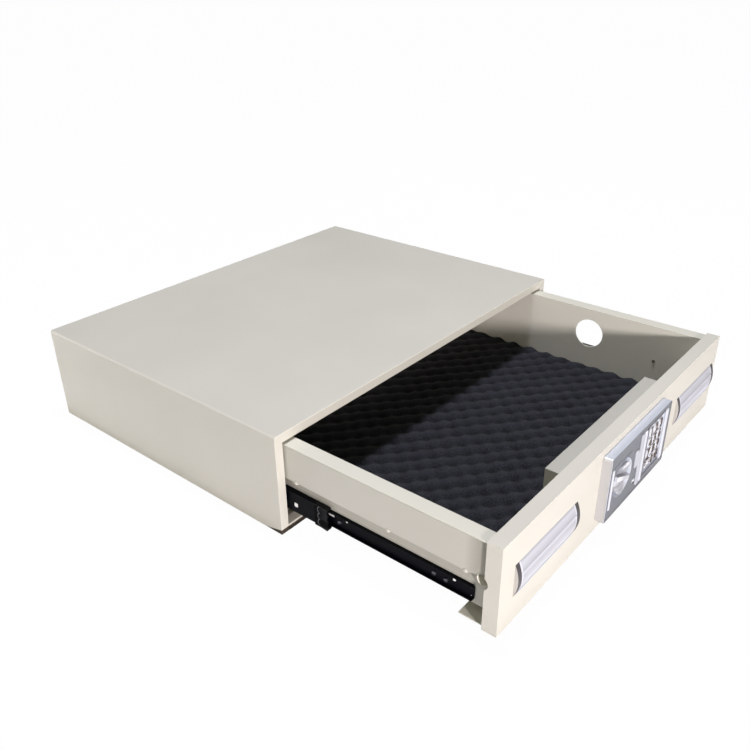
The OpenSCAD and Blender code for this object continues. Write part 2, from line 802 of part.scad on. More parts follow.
// Bolt as it stands on the left: round end at tip, flat bar, riser, slotted head over the crank pin
module bolt_shape(tip) {
    bar_y = [bolt_y - bar_t / 2, bolt_y + bar_t / 2];
    cut_y = [bar_y[0] - 1, bar_y[1] + 1];
    slot_x = knob_x + pin_side;
    riser_x = knob_x - 2 * crank_r;
    riser = [riser_x - riser_w / 2, riser_x + riser_w / 2];
    head_z = [bolt_z + pin_side - slot_r - head_stock, bolt_z + crank_r + slot_r + head_stock];
    rod_x(bolt_r, [tip, tip + bolt_rod_l], bolt_y, bolt_z);
    span([tip + bolt_rod_l, riser[1]], bar_y, [bolt_z - bar_h / 2, bolt_z + bar_h / 2]);
    span(riser, bar_y, [bolt_z - bar_h / 2, head_z[1]]);
    difference() {
        span([riser[0], slot_x + slot_r + head_side], bar_y, head_z);
        for (dz = [pin_side, crank_r]) rod_y(slot_r, cut_y, slot_x, bolt_z + dz);
        span([slot_x - slot_r, slot_x + slot_r], cut_y, [bolt_z + pin_side, bolt_z + crank_r]);
    }
}

module bolt_left() {
    color(steel) bolt_shape(-bolt_tip);
}

// The right bolt is the left one turned half round the knob axis, with its round end set out to match
module bolt_right() {
    color(steel) translate([knob_x, 0, bolt_z]) rotate([0, 180, 0]) translate([-knob_x, 0, -bolt_z])
        bolt_shape(2 * knob_x - bolt_tip);
}

// Solenoid beside the crank disc, with its plunger drawn in
solenoid_x = knob_x + disc_r + plunger_stroke + 2;
solenoid_y = disc_y + disc_t / 2;
plunger_in = 20;

module solenoid() {
    h = solenoid_w / 2;
    color(steel) difference() {
        span([solenoid_x, solenoid_x + solenoid_l], [panel_y + sheet, solenoid_y + h],
            [bolt_z - h, bolt_z + h]);
        rod_x(plunger_r + run_gap, [solenoid_x - 1, solenoid_x + plunger_in + 1], solenoid_y, bolt_z);
    }
}

module solenoid_plunger() {
    color(steel) rod_x(plunger_r, [knob_x + disc_r + slide_gap, solenoid_x + plunger_in], solenoid_y, bolt_z);
}

module circuit_board() {
    inset = 1;
    x = [pad_x - pad_w / 2 - 2, housing_x1 - housing_wall - inset];
    color("green") span(x, [board_y, board_y + board_t],
        [housing_z0 + housing_wall + inset, housing_z1 - housing_wall - inset]);
}

// Battery tray against the back of the panel front, right of the solenoid
cell_pitch = 2 * cell_r + 1;
holder_wall = 1.5;
holder_floor = 1;
holder_l = cell_l + 2 * holder_wall + 1;
holder_x = cover_w / 2 - cover_t - holder_l - 6;
holder_y = panel_y + sheet;
holder_z = bolt_z - cell_count * cell_pitch / 2 - 1;

module battery_holder() {
    h = cell_count * cell_pitch + 2;
    color(black) difference() {
        span([holder_x, holder_x + holder_l], [holder_y, holder_y + 2 * cell_r], [holder_z, holder_z + h]);
        span([holder_x + holder_wall, holder_x + holder_l - holder_wall],
            [holder_y + holder_floor, holder_y + 3 * cell_r],
            [holder_z + holder_floor, holder_z + h - holder_floor]);
    }
}

module batteries() {
    color("goldenrod") for (i = [0 : cell_count - 1])
        rod_x(cell_r, [holder_x + (holder_l - cell_l) / 2, holder_x + (holder_l + cell_l) / 2],
            holder_y + holder_floor + slide_gap + cell_r, holder_z + holder_floor + (i + 0.5) * cell_pitch);
}

// Solid barrel of a handle, sunk from its arc by depth
module handle_barrel(x, depth) {
    rod_x(handle_r - depth, x, handle_arc_y, handle_z);
}

module handle_cups() {
    h = handle_h / 2;
    color(silver) for (x = [handle_left_x, handle_right_x]) difference() {
        span([x - cup_x, x + cup_x], [panel_y, handle_floor], [handle_z - h, handle_z + h]);
        span([x - cup_x - 1, x + cup_x + 1], [panel_y - 1, handle_floor - cup_t],
            [handle_z - h + cup_t, handle_z + h - cup_t]);
    }
}

// Fixed upper strip of each handle, between its cheeks
module handle_pulls() {
    h = handle_h / 2;
    color(silver) for (x = [handle_left_x, handle_right_x]) intersection() {
        difference() {
            handle_barrel([x - cup_x, x + cup_x], 0);
            handle_barrel([x - cup_x - 1, x + cup_x + 1], pull_t);
        }
        union() {
            span([x - cup_x, x + cup_x], [panel_y - 2 * handle_bulge, panel_y], [pull_foot, handle_z + h]);
            span([x - cup_x, x + cup_x], [panel_y - eps, panel_y + pull_t],
                [pull_foot, handle_z + h - cup_t]);
        }
    }
}

module handle_cheeks() {
    h = handle_h / 2;
    color(plum) for (x = [handle_left_x, handle_right_x], s = [-1, 1]) {
        ends = s > 0 ? [x + cup_x, x + handle_w / 2] : [x - handle_w / 2, x - cup_x];
        difference() {
            union() {
                intersection() {
                    handle_barrel(ends, 0);
                    span(ends, [panel_y - 2 * handle_bulge, panel_y + 1], [handle_z - h, handle_z + h]);
                }
                span(ends, [panel_y, handle_floor], [handle_z - h, handle_z + h]);
            }
            rod_x(flap_pin_r + run_gap,
                [x + s * cup_x - flap_pin_l - 0.5, x + s * cup_x + flap_pin_l + 0.5], flap_y, flap_z);
        }
    }
}

// Flap under the fixed strip: a curved plate hung on its barrel, with a pin at each end
module handle_flap(x) {
    half = cup_x - flap_gap;
    color(silver) {
        intersection() {
            difference() {
                handle_barrel([x - half, x + half], 0);
                handle_barrel([x - half - 1, x + half + 1], flap_t);
            }
            span([x - half, x + half], [panel_y - 2 * handle_bulge, panel_y + flap_t], [flap_foot, flap_z]);
        }
        rod_x(flap_barrel_r, [x - half, x + half], flap_y, flap_z);
        rod_x(flap_pin_r, [x - cup_x - flap_pin_l, x + cup_x + flap_pin_l], flap_y, flap_z);
    }
}

case_sleeve();
case_back();
case_base();
foot_strips();
slide_brackets(LEFT);  // slide_brackets_left
slide_brackets(RIGHT);  // slide_brackets_right
slide_case_member(LEFT);  // slide_case_member_left
slide_case_member(RIGHT);  // slide_case_member_right
slide_middle_member(LEFT);  // slide_middle_member_left
slide_middle_member(RIGHT);  // slide_middle_member_right
slide_drawer_member(LEFT);  // slide_drawer_member_left
slide_drawer_member(RIGHT);  // slide_drawer_member_right
slide_guard(LEFT);  // slide_guard_left
slide_guard(RIGHT);  // slide_guard_right
ball_cage_outer(LEFT);  // ball_cage_outer_left
ball_cage_outer(RIGHT);  // ball_cage_outer_right
ball_cage_inner(LEFT);  // ball_cage_inner_left
ball_cage_inner(RIGHT);  // ball_cage_inner_right
drawer_tray();
drawer_skin(LEFT);  // drawer_skin_left
drawer_skin(RIGHT);  // drawer_skin_right
skin_rivets();
tray_wall_screws();
foam_liner();
panel_shell();
panel_back_plate();
lock_cover();
bolt_cover(LEFT);  // bolt_cover_left
bolt_cover(RIGHT);  // bolt_cover_right
lock_housing();
keypad_plate();
signal_lamp();
turn_knob();
spindle();
crank_disc();
bolt_left();
bolt_right();
solenoid();
solenoid_plunger();
circuit_board();
battery_holder();
batteries();
key(0, 0);  // key_1
key(1, 0);  // key_2
key(2, 0);  // key_3
key(0, 1);  // key_4
key(1, 1);  // key_5
key(2, 1);  // key_6
key(0, 2);  // key_7
key(1, 2);  // key_8
key(2, 2);  // key_9
key(0, 3);  // key_star
key(1, 3);  // key_0
key(2, 3);  // key_hash
handle_cups();
handle_pulls();
handle_cheeks();
handle_flap(handle_left_x);  // handle_flap_left
handle_flap(handle_right_x);  // handle_flap_right
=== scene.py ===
import json
import math

import bmesh
import bpy
from bpy.props import FloatProperty, FloatVectorProperty, PointerProperty
from mathutils import Matrix, Vector, noise

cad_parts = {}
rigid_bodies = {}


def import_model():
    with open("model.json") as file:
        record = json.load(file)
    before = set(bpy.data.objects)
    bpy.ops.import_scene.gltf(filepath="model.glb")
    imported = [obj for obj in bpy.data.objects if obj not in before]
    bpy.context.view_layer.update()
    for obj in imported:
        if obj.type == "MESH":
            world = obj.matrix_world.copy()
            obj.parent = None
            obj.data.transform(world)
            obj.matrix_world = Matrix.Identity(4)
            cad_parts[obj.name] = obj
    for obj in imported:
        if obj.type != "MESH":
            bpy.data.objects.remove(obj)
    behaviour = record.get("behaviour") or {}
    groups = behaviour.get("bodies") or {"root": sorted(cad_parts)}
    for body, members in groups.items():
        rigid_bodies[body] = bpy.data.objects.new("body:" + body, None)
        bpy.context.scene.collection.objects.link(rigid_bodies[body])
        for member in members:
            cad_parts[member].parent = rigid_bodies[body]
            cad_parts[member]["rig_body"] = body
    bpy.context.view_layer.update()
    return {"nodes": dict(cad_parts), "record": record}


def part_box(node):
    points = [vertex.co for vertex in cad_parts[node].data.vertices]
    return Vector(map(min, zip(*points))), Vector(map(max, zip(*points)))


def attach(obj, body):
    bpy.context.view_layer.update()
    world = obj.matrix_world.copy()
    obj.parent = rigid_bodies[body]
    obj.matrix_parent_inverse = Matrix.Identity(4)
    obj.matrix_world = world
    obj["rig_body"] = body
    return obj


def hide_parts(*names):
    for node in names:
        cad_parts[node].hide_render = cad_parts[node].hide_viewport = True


bl_info = {
    "name": "Under-bed drawer safe",
    "version": (1, 0, 0),
    "blender": (4, 5, 0),
    "location": "3D View > Sidebar > Drawer safe",
    "description": "Dresses the packed solids of a low drawer safe: enamel, foam, slides, lock and handles",
    "category": "Object",
}

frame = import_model()
NODES = frame["nodes"]
SLOTS = {part["node"]: part["material_slot"] for part in frame["record"]["subparts"]}
SIDES = (("left", -1), ("right", 1))
MM = 0.001
FRONT = Vector((0, -1, 0))
VERT, EDGE = bmesh.types.BMVert, bmesh.types.BMEdge

# Places of the pack, in metres
PANEL_BACK = -0.4915
BOLT_AXIS = Vector((0, -0.4875, 0.070))
KNOB_AXIS = Vector((-0.041, 0.070))
DISH_RADIUS = 0.0245

# Meshes: distance of vertices that are one, angle of faces that are one, and angle of edges shaded sharp
MERGE = 1e-7
FLAT = math.radians(0.4)
SHARP = math.radians(50)


class Wire:
    """A socket of a material. Sums and products on it add Math nodes."""

    def __init__(self, paint, socket):
        self.paint = paint
        self.socket = socket

    def maths(self, operation, *values):
        """Math node; without values it works on this socket alone."""
        return self.paint.add("ShaderNodeMath", {"operation": operation}, dict(enumerate(values or [self])))

    def __add__(self, other):
        return self.maths("ADD", self, other)

    def __sub__(self, other):
        return self.maths("SUBTRACT", self, other)

    def __rsub__(self, other):
        return self.maths("SUBTRACT", other, self)

    def __mul__(self, other):
        return self.maths("MULTIPLY", self, other)

    __radd__ = __add__
    __rmul__ = __mul__


class Paint:
    """A material of the safe, or its surroundings, built node by node on object coordinates."""

    def __init__(self, name, kind="materials"):
        self.made = getattr(bpy.data, kind).new(name)
        self.made.use_nodes = True
        self.tree = self.made.node_tree
        self.tree.nodes.clear()
        self.place = self.add("ShaderNodeTexCoord", out="Object")

    def add(self, kind, settings=None, sockets=None, out=0):
        """Any node, with its settings made first and then the values or links of its sockets."""
        node = self.tree.nodes.new(kind)
        for key, value in (settings or {}).items():
            if key == "stops":
                ramp = node.color_ramp
                while len(ramp.elements) < len(value):
                    ramp.elements.new(0.5)
                for stop, (position, level) in zip(ramp.elements, value):
                    stop.position = position
                    stop.color = (level, level, level, 1)
            else:
                setattr(node, key, value)
        for key, value in (sockets or {}).items():
            if isinstance(value, Wire):
                self.tree.links.new(value.socket, node.inputs[key])
            else:
                node.inputs[key].default_value = value
        return None if out is None else Wire(self, node.outputs[out])

    def noise(self, size, detail=2.0, rough=0.5, stretch=(1, 1, 1)):
        """Noise whose features are about size across, in metres."""
        place = self.place
        if tuple(stretch) != (1, 1, 1):
            place = self.add("ShaderNodeMapping", None, {"Vector": place, "Scale": stretch})
        return self.add("ShaderNodeTexNoise", None,
                        {"Vector": place, "Scale": 1 / size, "Detail": detail, "Roughness": rough})

    def along(self, axis):
        """Object coordinate along an axis, X, Y or Z."""
        return self.add("ShaderNodeSeparateXYZ", None, {0: self.place}, out=axis)

    def most(self, first, *others):
        """The greatest of several wires."""
        for other in others:
            first = first.maths("MAXIMUM", first, other)
        return first

    def ramp(self, value, *stops):
        """Grey levels along value, each stop a position and a level."""
        return self.add("ShaderNodeValToRGB", {"stops": stops}, {0: value})

    def span(self, value, start, length, *stops):
        """Ramp whose 0 to 1 covers a length of value, from start on."""
        return self.ramp((value - start) * (1 / length), *stops)

    def mix(self, factor, a, b):
        """Colour between a and b."""
        return self.add("ShaderNodeMix", {"data_type": "RGBA"}, {0: factor, 6: rgba(a), 7: rgba(b)}, out=2)

    def tinted(self, tone, mask, tint):
        """Tone, multiplied by tint where mask is 1."""
        return self.add("ShaderNodeMix", {"data_type": "RGBA", "blend_type": "MULTIPLY"},
                        {0: mask, 6: tone, 7: rgba(tint)}, out=2)

    def finish(self, tone, roughness, relief=None, **others):
        """Closed with a Principled shader; relief is a height with its depth in metres and its strength."""
        sockets = {"Base Color": tone, "Roughness": roughness}
        sockets.update((key.replace("_", " "), value) for key, value in others.items())
        if relief:
            sockets["Normal"] = self.add("ShaderNodeBump", None,
                                         dict(zip(("Height", "Distance", "Strength"), relief)))
        return self.closed(self.add("ShaderNodeBsdfPrincipled", None, sockets))

    def closed(self, shader, kind="ShaderNodeOutputMaterial"):
        """Material or surroundings with the shader as output."""
        self.add(kind, None, {"Surface": shader}, None)
        return self.made


def scaled(colour, k):
    return tuple(channel * k for channel in colour)


def rgba(colour):
    return (*colour, 1)


# Settings

def colour_prop(name, what, default):
    return FloatVectorProperty(name=name, description=f"Colour of the {what}", subtype="COLOR", size=3,
                               min=0, max=1, default=default)


def length_prop(name, about, default):
    return FloatProperty(name=name, description=about, default=default, unit="LENGTH")


def power_prop(name, about, default):
    return FloatProperty(name=name, description=about, default=default, min=0, unit="POWER")


class EnamelSettings(bpy.types.PropertyGroup):
    colour: colour_prop("Colour", "cream powder coat", (0.720, 0.700, 0.620))
    roughness: FloatProperty(name="Roughness", description="Roughness of the powder coat", min=0, max=1,
                             default=0.48, subtype="FACTOR")
    grain: length_prop("Grain", "Width of the fine grain in the coat", 0.0011)
    grain_depth: length_prop("Grain depth", "Depth of the fine grain", 0.00005)
    edge: length_prop("Edge radius", "Radius of the folded sheet edges", 0.0009)


class SlideSettings(bpy.types.PropertyGroup):
    colour: colour_prop("Colour", "black slides", (0.0019, 0.0023, 0.0038))
    end_round: length_prop("End radius", "Corner radius of the drawer member's front end", 0.0034)
    screw_r: length_prop("Screw radius", "Radius of the screw heads in the slides", 0.0028)


class FoamSettings(bpy.types.PropertyGroup):
    colour: colour_prop("Colour", "foam liner", (0.0168, 0.0177, 0.0214))
    wave: length_prop("Wave depth", "Height of the waves from valley to crest", 0.0050)
    pitch: length_prop("Wave pitch", "Distance between neighbouring crests", 0.0221)
    turn: FloatProperty(name="Wave turn", description="Turn of the wave rows on the floor of the drawer",
                        default=math.radians(49.3), subtype="ANGLE")
    cell: length_prop("Grid", "Grid of the foam's mesh", 0.0024)


class LockSettings(bpy.types.PropertyGroup):
    shell: colour_prop("Shell colour", "silver shell", (0.62, 0.665, 0.75))
    face: colour_prop("Face colour", "darker silver face", (0.136, 0.147, 0.168))
    bright: colour_prop("Bar colour", "bright raised bars", (0.66, 0.68, 0.73))
    ink: colour_prop("Ink colour", "figures on the keys", (0.055, 0.026, 0.010))
    figure: length_prop("Figure height", "Height of the figures on the keys", 0.0110)
    edge: length_prop("Edge radius", "Radius of the moulded edges", 0.0009)


class HandleSettings(bpy.types.PropertyGroup):
    cheek: colour_prop("Cheek colour", "dark end cheeks", (0.044, 0.038, 0.042))
    edge: length_prop("Edge radius", "Radius of the edges of pulls and flaps", 0.0006)


class StageSettings(bpy.types.PropertyGroup):
    floor: colour_prop("Floor colour", "pale floor", (0.86, 0.86, 0.86))
    ambient: FloatProperty(name="Ambient", description="Strength of the light from all sides", default=0.245,
                           min=0)
    front: power_prop("Front light", "Power of the soft light at the front left", 66)
    side: power_prop("Side light", "Power of the low soft light at the back left", 1.6)
    top: power_prop("Top light", "Power of the soft light overhead", 53)
    lens: FloatProperty(name="Lens", description="Focal length of the camera, in millimetres", default=38.28,
                        min=10)


class SafeSettings(bpy.types.PropertyGroup):
    enamel: PointerProperty(type=EnamelSettings)
    slides: PointerProperty(type=SlideSettings)
    foam: PointerProperty(type=FoamSettings)
    lock: PointerProperty(type=LockSettings)
    handles: PointerProperty(type=HandleSettings)
    stage: PointerProperty(type=StageSettings)


def settings():
    return bpy.context.scene.drawer_safe


# Finishes

# The four tints below are for painted shade: on the side skins, at the foot of the case, on the tray's rim
# and on the keypad plate
SKIN_SHADE = (0.56, 0.545, 0.51)
FOOT_DARK = (0.070, 0.052, 0.040)
RIM_SHADE = (0.85, 0.86, 0.84)
PLATE_DARK = (0.16, 0.16, 0.22)
LACQUER = {"Coat_Weight": 0.2, "Coat_Roughness": 0.2}


def cream_enamel(name="cream_enamel", level=1.0, mask=None, tint=None):
    """Powder coat: soft clouds and a fine grain, tinted with painted shade where mask gives a wire of 1."""
    s = settings().enamel
    paint = Paint(name)
    cloud = paint.noise(0.16, 3)
    grain = paint.noise(s.grain, 2, 0.6)
    tone = paint.mix(paint.ramp(cloud * 0.75 + grain * 0.25, (0.35, 0), (0.65, 1)),
                     scaled(s.colour, 0.965 * level), scaled(s.colour, 1.02 * level))
    if mask:
        tone = paint.tinted(tone, mask(paint), tint)
    return paint.finish(tone, s.roughness - 0.05 + grain * 0.1, (grain, s.grain_depth, 0.6),
                        Specular_IOR_Level=0.42)


def recess_painted_shade(paint):
    """Painted shade on the side skins: under their step, on their slope beside the panel and under the rim.
    """
    y, z = paint.along("Y"), paint.along("Z")
    recess, fade, rim = 0.054, 0.05, 0.120
    low = paint.span(z, recess, 1 / 45, (0, 0), (0.16, 0), (0.28, 0.42), (0.6, 0.62), (0.84, 1), (0.895, 0))
    slope = paint.span(y, PANEL_BACK, 0.025, (0, 1), (0.25, 0.86), (0.48, 0.7), (0.66, 0.45),
                       (0.82, 0.18), (1, 0))
    slope = slope * paint.span(z, fade, 0.025, (0, 0.4), (0.5, 1))
    under_rim = paint.ramp((y - PANEL_BACK) * 50 + (rim - z) * 22, (0, 0.75), (0.55, 0.55), (0.85, 0))
    return paint.most(low, slope, under_rim)


def rim_painted_shade(paint):
    """Painted shade: a darker tone on the flat top of the tray's rim."""
    return paint.span(paint.along("Z"), 0.116, 0.005, (0.5, 0), (0.62, 1))


def foot_shadow(paint):
    """Dark foot line of the case: thin along the sides, and a wedge up to 7 mm high at the front corners."""
    wedge_start, thin, rise = -0.195, 0.0007, 0.23
    forward = paint.along("Y") - wedge_start
    height = forward.maths("MINIMUM", forward, 0) * -rise + thin
    return paint.ramp((height - paint.along("Z")) * (1 / MM) + 0.5, (0.3, 0), (0.6, 1))


def black_steel():
    s = settings().slides
    paint = Paint("black_steel")
    streak = paint.noise(0.0016, 3, 0.6, (1, 0.05, 1))
    speck = paint.noise(0.0007, 2)
    wear = paint.ramp(paint.noise(0.02, 4, 0.7), (0.62, 0), (0.82, 1))
    tone = paint.mix(wear * 0.25 + streak * 0.2, s.colour, scaled(s.colour, 2.2))
    return paint.finish(tone, 0.36 + streak * 0.18, (speck, 0.00003, 0.5), Specular_IOR_Level=0.05)


def metal(name, grain, dark, light, metallic, roughness, relief=0.5):
    """Metal between two tones; grain is the size, detail, roughness and stretch of its marks."""
    paint = Paint(name)
    marks = paint.noise(*grain)
    return paint.finish(paint.mix(marks, dark, light), roughness[0] + marks * roughness[1],
                        (marks, 0.00002, relief), Metallic=metallic)


def foot_rubber():
    paint = Paint("foot_rubber")
    grain = paint.noise(0.0008, 3)
    tone = paint.mix(grain, (0.018, 0.012, 0.008), (0.040, 0.028, 0.020))
    return paint.finish(tone, 0.75 + grain * 0.15, (grain, 0.0001, 0.6), Specular_IOR_Level=0.3)


def open_foam():
    """Foam liner: pores, fibre and soft patches, with painted light towards the crests of its waves and
    painted shade in the valleys.
    """
    s = settings().foam
    paint = Paint("open_foam")
    pores = paint.add("ShaderNodeTexVoronoi", None, {"Vector": paint.place, "Scale": 620.0}, out="Distance")
    fibre = paint.noise(0.0016, 4, 0.7)
    patch = paint.noise(0.05, 3)
    # Painted light and shade: lighter towards the crests, darker in the valleys
    crest = (paint.along("Z") - (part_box("foam_liner")[1].z - s.wave)) * (1 / s.wave)
    mixed = pores * 0.34 + fibre * 0.90 + patch * 0.12 + crest * 0.30
    tone = paint.mix(paint.ramp(mixed, (0.55, 0), (1, 1)), scaled(s.colour, 0.32), scaled(s.colour, 2.2))
    return paint.finish(tone, 0.95, (pores * 0.6 + fibre * 0.4, 0.0006, 0.7), Specular_IOR_Level=0.15,
                        Sheen_Weight=0.04, Sheen_Roughness=0.5)


def silver(name, colour, metallic=0.35, roughness=0.34, mask=None, tint=(0.5, 0.5, 0.56)):
    """Silver plastic, tinted where mask gives a wire of 1."""
    paint = Paint(name)
    flake = paint.noise(0.0004, 2, 0.7)
    cloud = paint.noise(0.03, 2)
    tone = paint.mix(flake * 0.7 + cloud * 0.3, scaled(colour, 0.93), scaled(colour, 1.05))
    if mask:
        tone = paint.tinted(tone, mask(paint), tint)
    return paint.finish(tone, roughness + flake * 0.08, (flake, 0.00001, 0.4), Metallic=metallic,
                        Coat_Weight=0.2, Coat_Roughness=0.22)


def face_shade(paint):
    """Dark border of the lock's face, along its right and lower edges."""
    x, z = paint.along("X"), paint.along("Z")
    right_edge, low_edge, left_end = 0.080, 0.032, -0.08
    right = paint.span(x, right_edge, 0.0125, (0.3, 0), (0.42, 0.85), (0.85, 0.85))
    low = paint.ramp((low_edge - z) * 150, (0, 0), (0.45, 0.75), (1, 0.9))
    rightward = paint.ramp((x - left_end) * 6, (0, 0.15), (0.5, 0.9), (1, 1))
    return paint.most(right, low * rightward)


def plate_shade(paint):
    """Dark lines of the keypad plate, above and below the keys."""
    foot, height = 0.039, 0.066
    return paint.span(paint.along("Z"), foot, height, (0.02, 0), (0.022, 1), (0.045, 1), (0.047, 0),
                      (0.962, 0), (0.964, 1), (0.985, 1), (0.987, 0))


def knob_silver():
    """Knob: painted light and shade, with a grey upper hollow, a painted highlight spot in it, a bright
    lower hollow, and painted dark lines beside the grip.
    """
    paint = Paint("knob_silver")
    x, z = paint.along("X"), paint.along("Z")
    grip_x, grip_z, lean, grip_half = -0.0476, 0.0709, math.radians(24), 0.0045
    highlight_x, highlight_z = -0.0345, 0.0835
    line_bow, line_low, line_left = 7.6, 0.0145, 0.006
    right, up = x - grip_x, z - grip_z
    over = right * math.sin(lean) + up * math.cos(lean) - grip_half
    along = right * math.cos(lean) - up * math.sin(lean)
    bow = along + line_left
    # Painted light and shade of the two hollows
    upper = paint.ramp(over * 50, (0.02, 0), (0.05, 0.34), (0.45, 0.26), (1, 0.4))
    lower = paint.ramp(over * -50, (0.015, 0), (0.035, 1), (0.3, 0.92), (0.6, 0.62), (0.9, 0.5))
    fade = paint.ramp(along * 33 + 0.5, (0.08, 1), (0.45, 0.82), (0.8, 0.45))
    # Painted shade: a dark line along the grip
    edge = (over + line_low - bow * bow * line_bow).maths("ABSOLUTE")
    line = paint.ramp(edge * 250, (0.12, 0.35), (0.4, 1))
    # Painted highlight: a light spot in the upper hollow
    dx, dz = x - highlight_x, z - highlight_z
    painted_highlight = paint.ramp((dx * dx + dz * dz) * 12000, (0.02, 0.95), (0.35, 0.6), (1, 0))
    grain = paint.noise(0.0005, 3)
    level = paint.most(upper, lower * fade * line, painted_highlight)
    tone = paint.mix(level * 0.95 + grain * 0.05, (0.17, 0.175, 0.20), (0.90, 0.91, 0.95))
    return paint.finish(tone, 0.3 + grain * 0.08, (grain, 0.00001, 0.4), Metallic=0.25, **LACQUER)


def handle_silver():
    """Brushed along the handle; painted light and shade follow the curve of the strips, and painted
    highlights make them light at their ends.
    """
    centres = [sum(corner.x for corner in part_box(f"handle_flap_{side}")) / 2 for side, _ in SIDES]
    foot, height = 0.045, 0.040
    paint = Paint("handle_silver")
    brushed = paint.noise(0.0007, 3, 0.6, (0.04, 1, 1))
    # Painted light and shade down the strips, with a dark crease and light bands
    level = paint.span(paint.along("Z"), foot, height, (0, 0.3), (0.1, 0.55), (0.2, 0.95), (0.34, 0.7),
                       (0.52, 0.38), (0.62, 0.55), (0.69, 0.95), (0.705, 0.3), (0.76, 0.42), (0.93, 0.8),
                       (0.97, 0.5))
    # Painted highlights at the ends of the strips
    across = (paint.along("X") - sum(centres) / 2).maths("ABSOLUTE") - abs(centres[1] - centres[0]) / 2
    ends = paint.ramp(across.maths("ABSOLUTE") * 16, (0.86, 0), (0.89, 1))
    tone = paint.mix(paint.most(level * 0.92 + brushed * 0.08, ends),
                     (0.25, 0.255, 0.28), (0.73, 0.74, 0.81))
    return paint.finish(tone, 0.28 + brushed * 0.14, (brushed, 0.00002, 0.4), Metallic=0.3, **LACQUER)


def satin_plastic(name, colour, roughness=0.42, gloss=0.5):
    paint = Paint(name)
    grain = paint.noise(0.0006, 3, 0.6)
    tone = paint.mix(grain, scaled(colour, 0.85), scaled(colour, 1.15))
    return paint.finish(tone, roughness + grain * 0.12, (grain, 0.00003, 0.5), Specular_IOR_Level=gloss)


def lamp_lens():
    paint = Paint("lamp_lens")
    core = paint.noise(0.002, 2)
    tone = paint.mix(core, (0.90, 0.90, 0.92), (0.99, 0.99, 0.99))
    return paint.finish(tone, 0.25, Coat_Weight=0.5, Coat_Roughness=0.1,
                        Emission_Color=rgba((0.9, 0.95, 1.0)), Emission_Strength=0.6)


def solder_mask():
    paint = Paint("solder_mask")
    tracks = paint.add("ShaderNodeTexVoronoi", {"feature": "DISTANCE_TO_EDGE"},
                       {"Vector": paint.place, "Scale": 220.0})
    tone = paint.mix(paint.ramp(tracks, (0.03, 1), (0.06, 0)), (0.012, 0.085, 0.035), (0.03, 0.16, 0.07))
    return paint.finish(tone, 0.35, Coat_Weight=0.4)


def cell_wrap():
    paint = Paint("cell_wrap")
    x = paint.along("X")
    half_cell = 0.026
    band = x.maths("PINGPONG", x, half_cell)
    tone = paint.mix(paint.ramp(band * 38, (0.25, 0), (0.28, 1)), (0.02, 0.02, 0.022), (0.55, 0.36, 0.06))
    return paint.finish(tone, 0.25, Coat_Weight=0.5)


PAINTS = {
    # cream_enamel and its copies are one cream coat; their levels are painted light and shade for each part
    # and face
    "cream_enamel": cream_enamel,
    "panel_enamel": lambda: cream_enamel("panel_enamel", 0.87),
    "lip_enamel": lambda: cream_enamel("lip_enamel", 0.92, foot_shadow, FOOT_DARK),
    "cover_enamel": lambda: cream_enamel("cover_enamel", 0.75),
    "case_enamel": lambda: cream_enamel("case_enamel", 0.82, foot_shadow, FOOT_DARK),
    "tray_enamel": lambda: cream_enamel("tray_enamel", 1.08, rim_painted_shade, RIM_SHADE),
    "skin_enamel": lambda: cream_enamel("skin_enamel", 0.745, recess_painted_shade, SKIN_SHADE),
    "black_steel": black_steel,
    "bare_steel": lambda: metal("bare_steel", (0.0009, 4, 0.6, (0.08, 1, 1)), (0.42, 0.42, 0.43),
                                (0.62, 0.62, 0.62), 1.0, (0.26, 0.2)),
    "dark_screw": lambda: metal("dark_screw", (0.0005, 3, 0.6), (0.05, 0.05, 0.056), (0.16, 0.16, 0.18),
                                0.8, (0.12, 0.1)),
    "zinc": lambda: metal("zinc", (0.0012, 3, 0.6), (0.80, 0.80, 0.79), (0.93, 0.93, 0.92), 0.1,
                          (0.3, 0.15), 0.4),
    "foot_rubber": foot_rubber,
    "foam": open_foam,
    "silver_plastic": lambda: silver("silver_shell", settings().lock.shell),
    "silver_face": lambda: silver("silver_face", settings().lock.face, 0.45, 0.36, face_shade),
    "silver_bar": lambda: silver("silver_bar", settings().lock.bright, 0.15, 0.3),
    "silver_soft": lambda: silver("silver_soft", (0.50, 0.515, 0.56)),
    "silver_line": lambda: silver("silver_line", (0.26, 0.275, 0.31)),
    "silver_side": lambda: silver("silver_side", (0.57, 0.565, 0.565), 0.2, 0.4),
    "plate_silver": lambda: silver("plate_silver", settings().lock.bright, 0.15, 0.3, plate_shade,
                                   PLATE_DARK),
    "knob_silver": knob_silver,
    "warm_grey": lambda: satin_plastic("warm_grey", (0.52, 0.505, 0.48)),
    "stud_grey": lambda: satin_plastic("stud_grey", (0.15, 0.14, 0.11)),
    "frame_grey": lambda: satin_plastic("frame_grey", (0.055, 0.055, 0.065)),
    "handle_silver": handle_silver,
    "key_plastic": lambda: silver("key_silver", (0.70, 0.72, 0.76), 0.1, 0.36),
    "key_ink": lambda: satin_plastic("key_ink", settings().lock.ink, 0.5),
    "plum_plastic": lambda: satin_plastic("plum_plastic", settings().handles.cheek, 0.38),
    "black_plastic": lambda: satin_plastic("black_plastic", (0.0045, 0.0045, 0.0055), 0.36, 0.12),
    "rib_gloss": lambda: satin_plastic("rib_gloss", (0.085, 0.085, 0.10), 0.22),
    "lamp_lens": lamp_lens,
    "board": solder_mask,
    "cell_wrap": cell_wrap,
}
MADE = {}


def coat(slot):
    """The finish of a material slot, made once."""
    if slot not in MADE:
        MADE[slot] = PAINTS[slot]()
    return MADE[slot]


# Meshes

def mm(*values):
    return [value * MM for value in values]


def body_of(node):
    return NODES[node]["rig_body"]


def only(items, kind):
    return [item for item in items if isinstance(item, kind)]


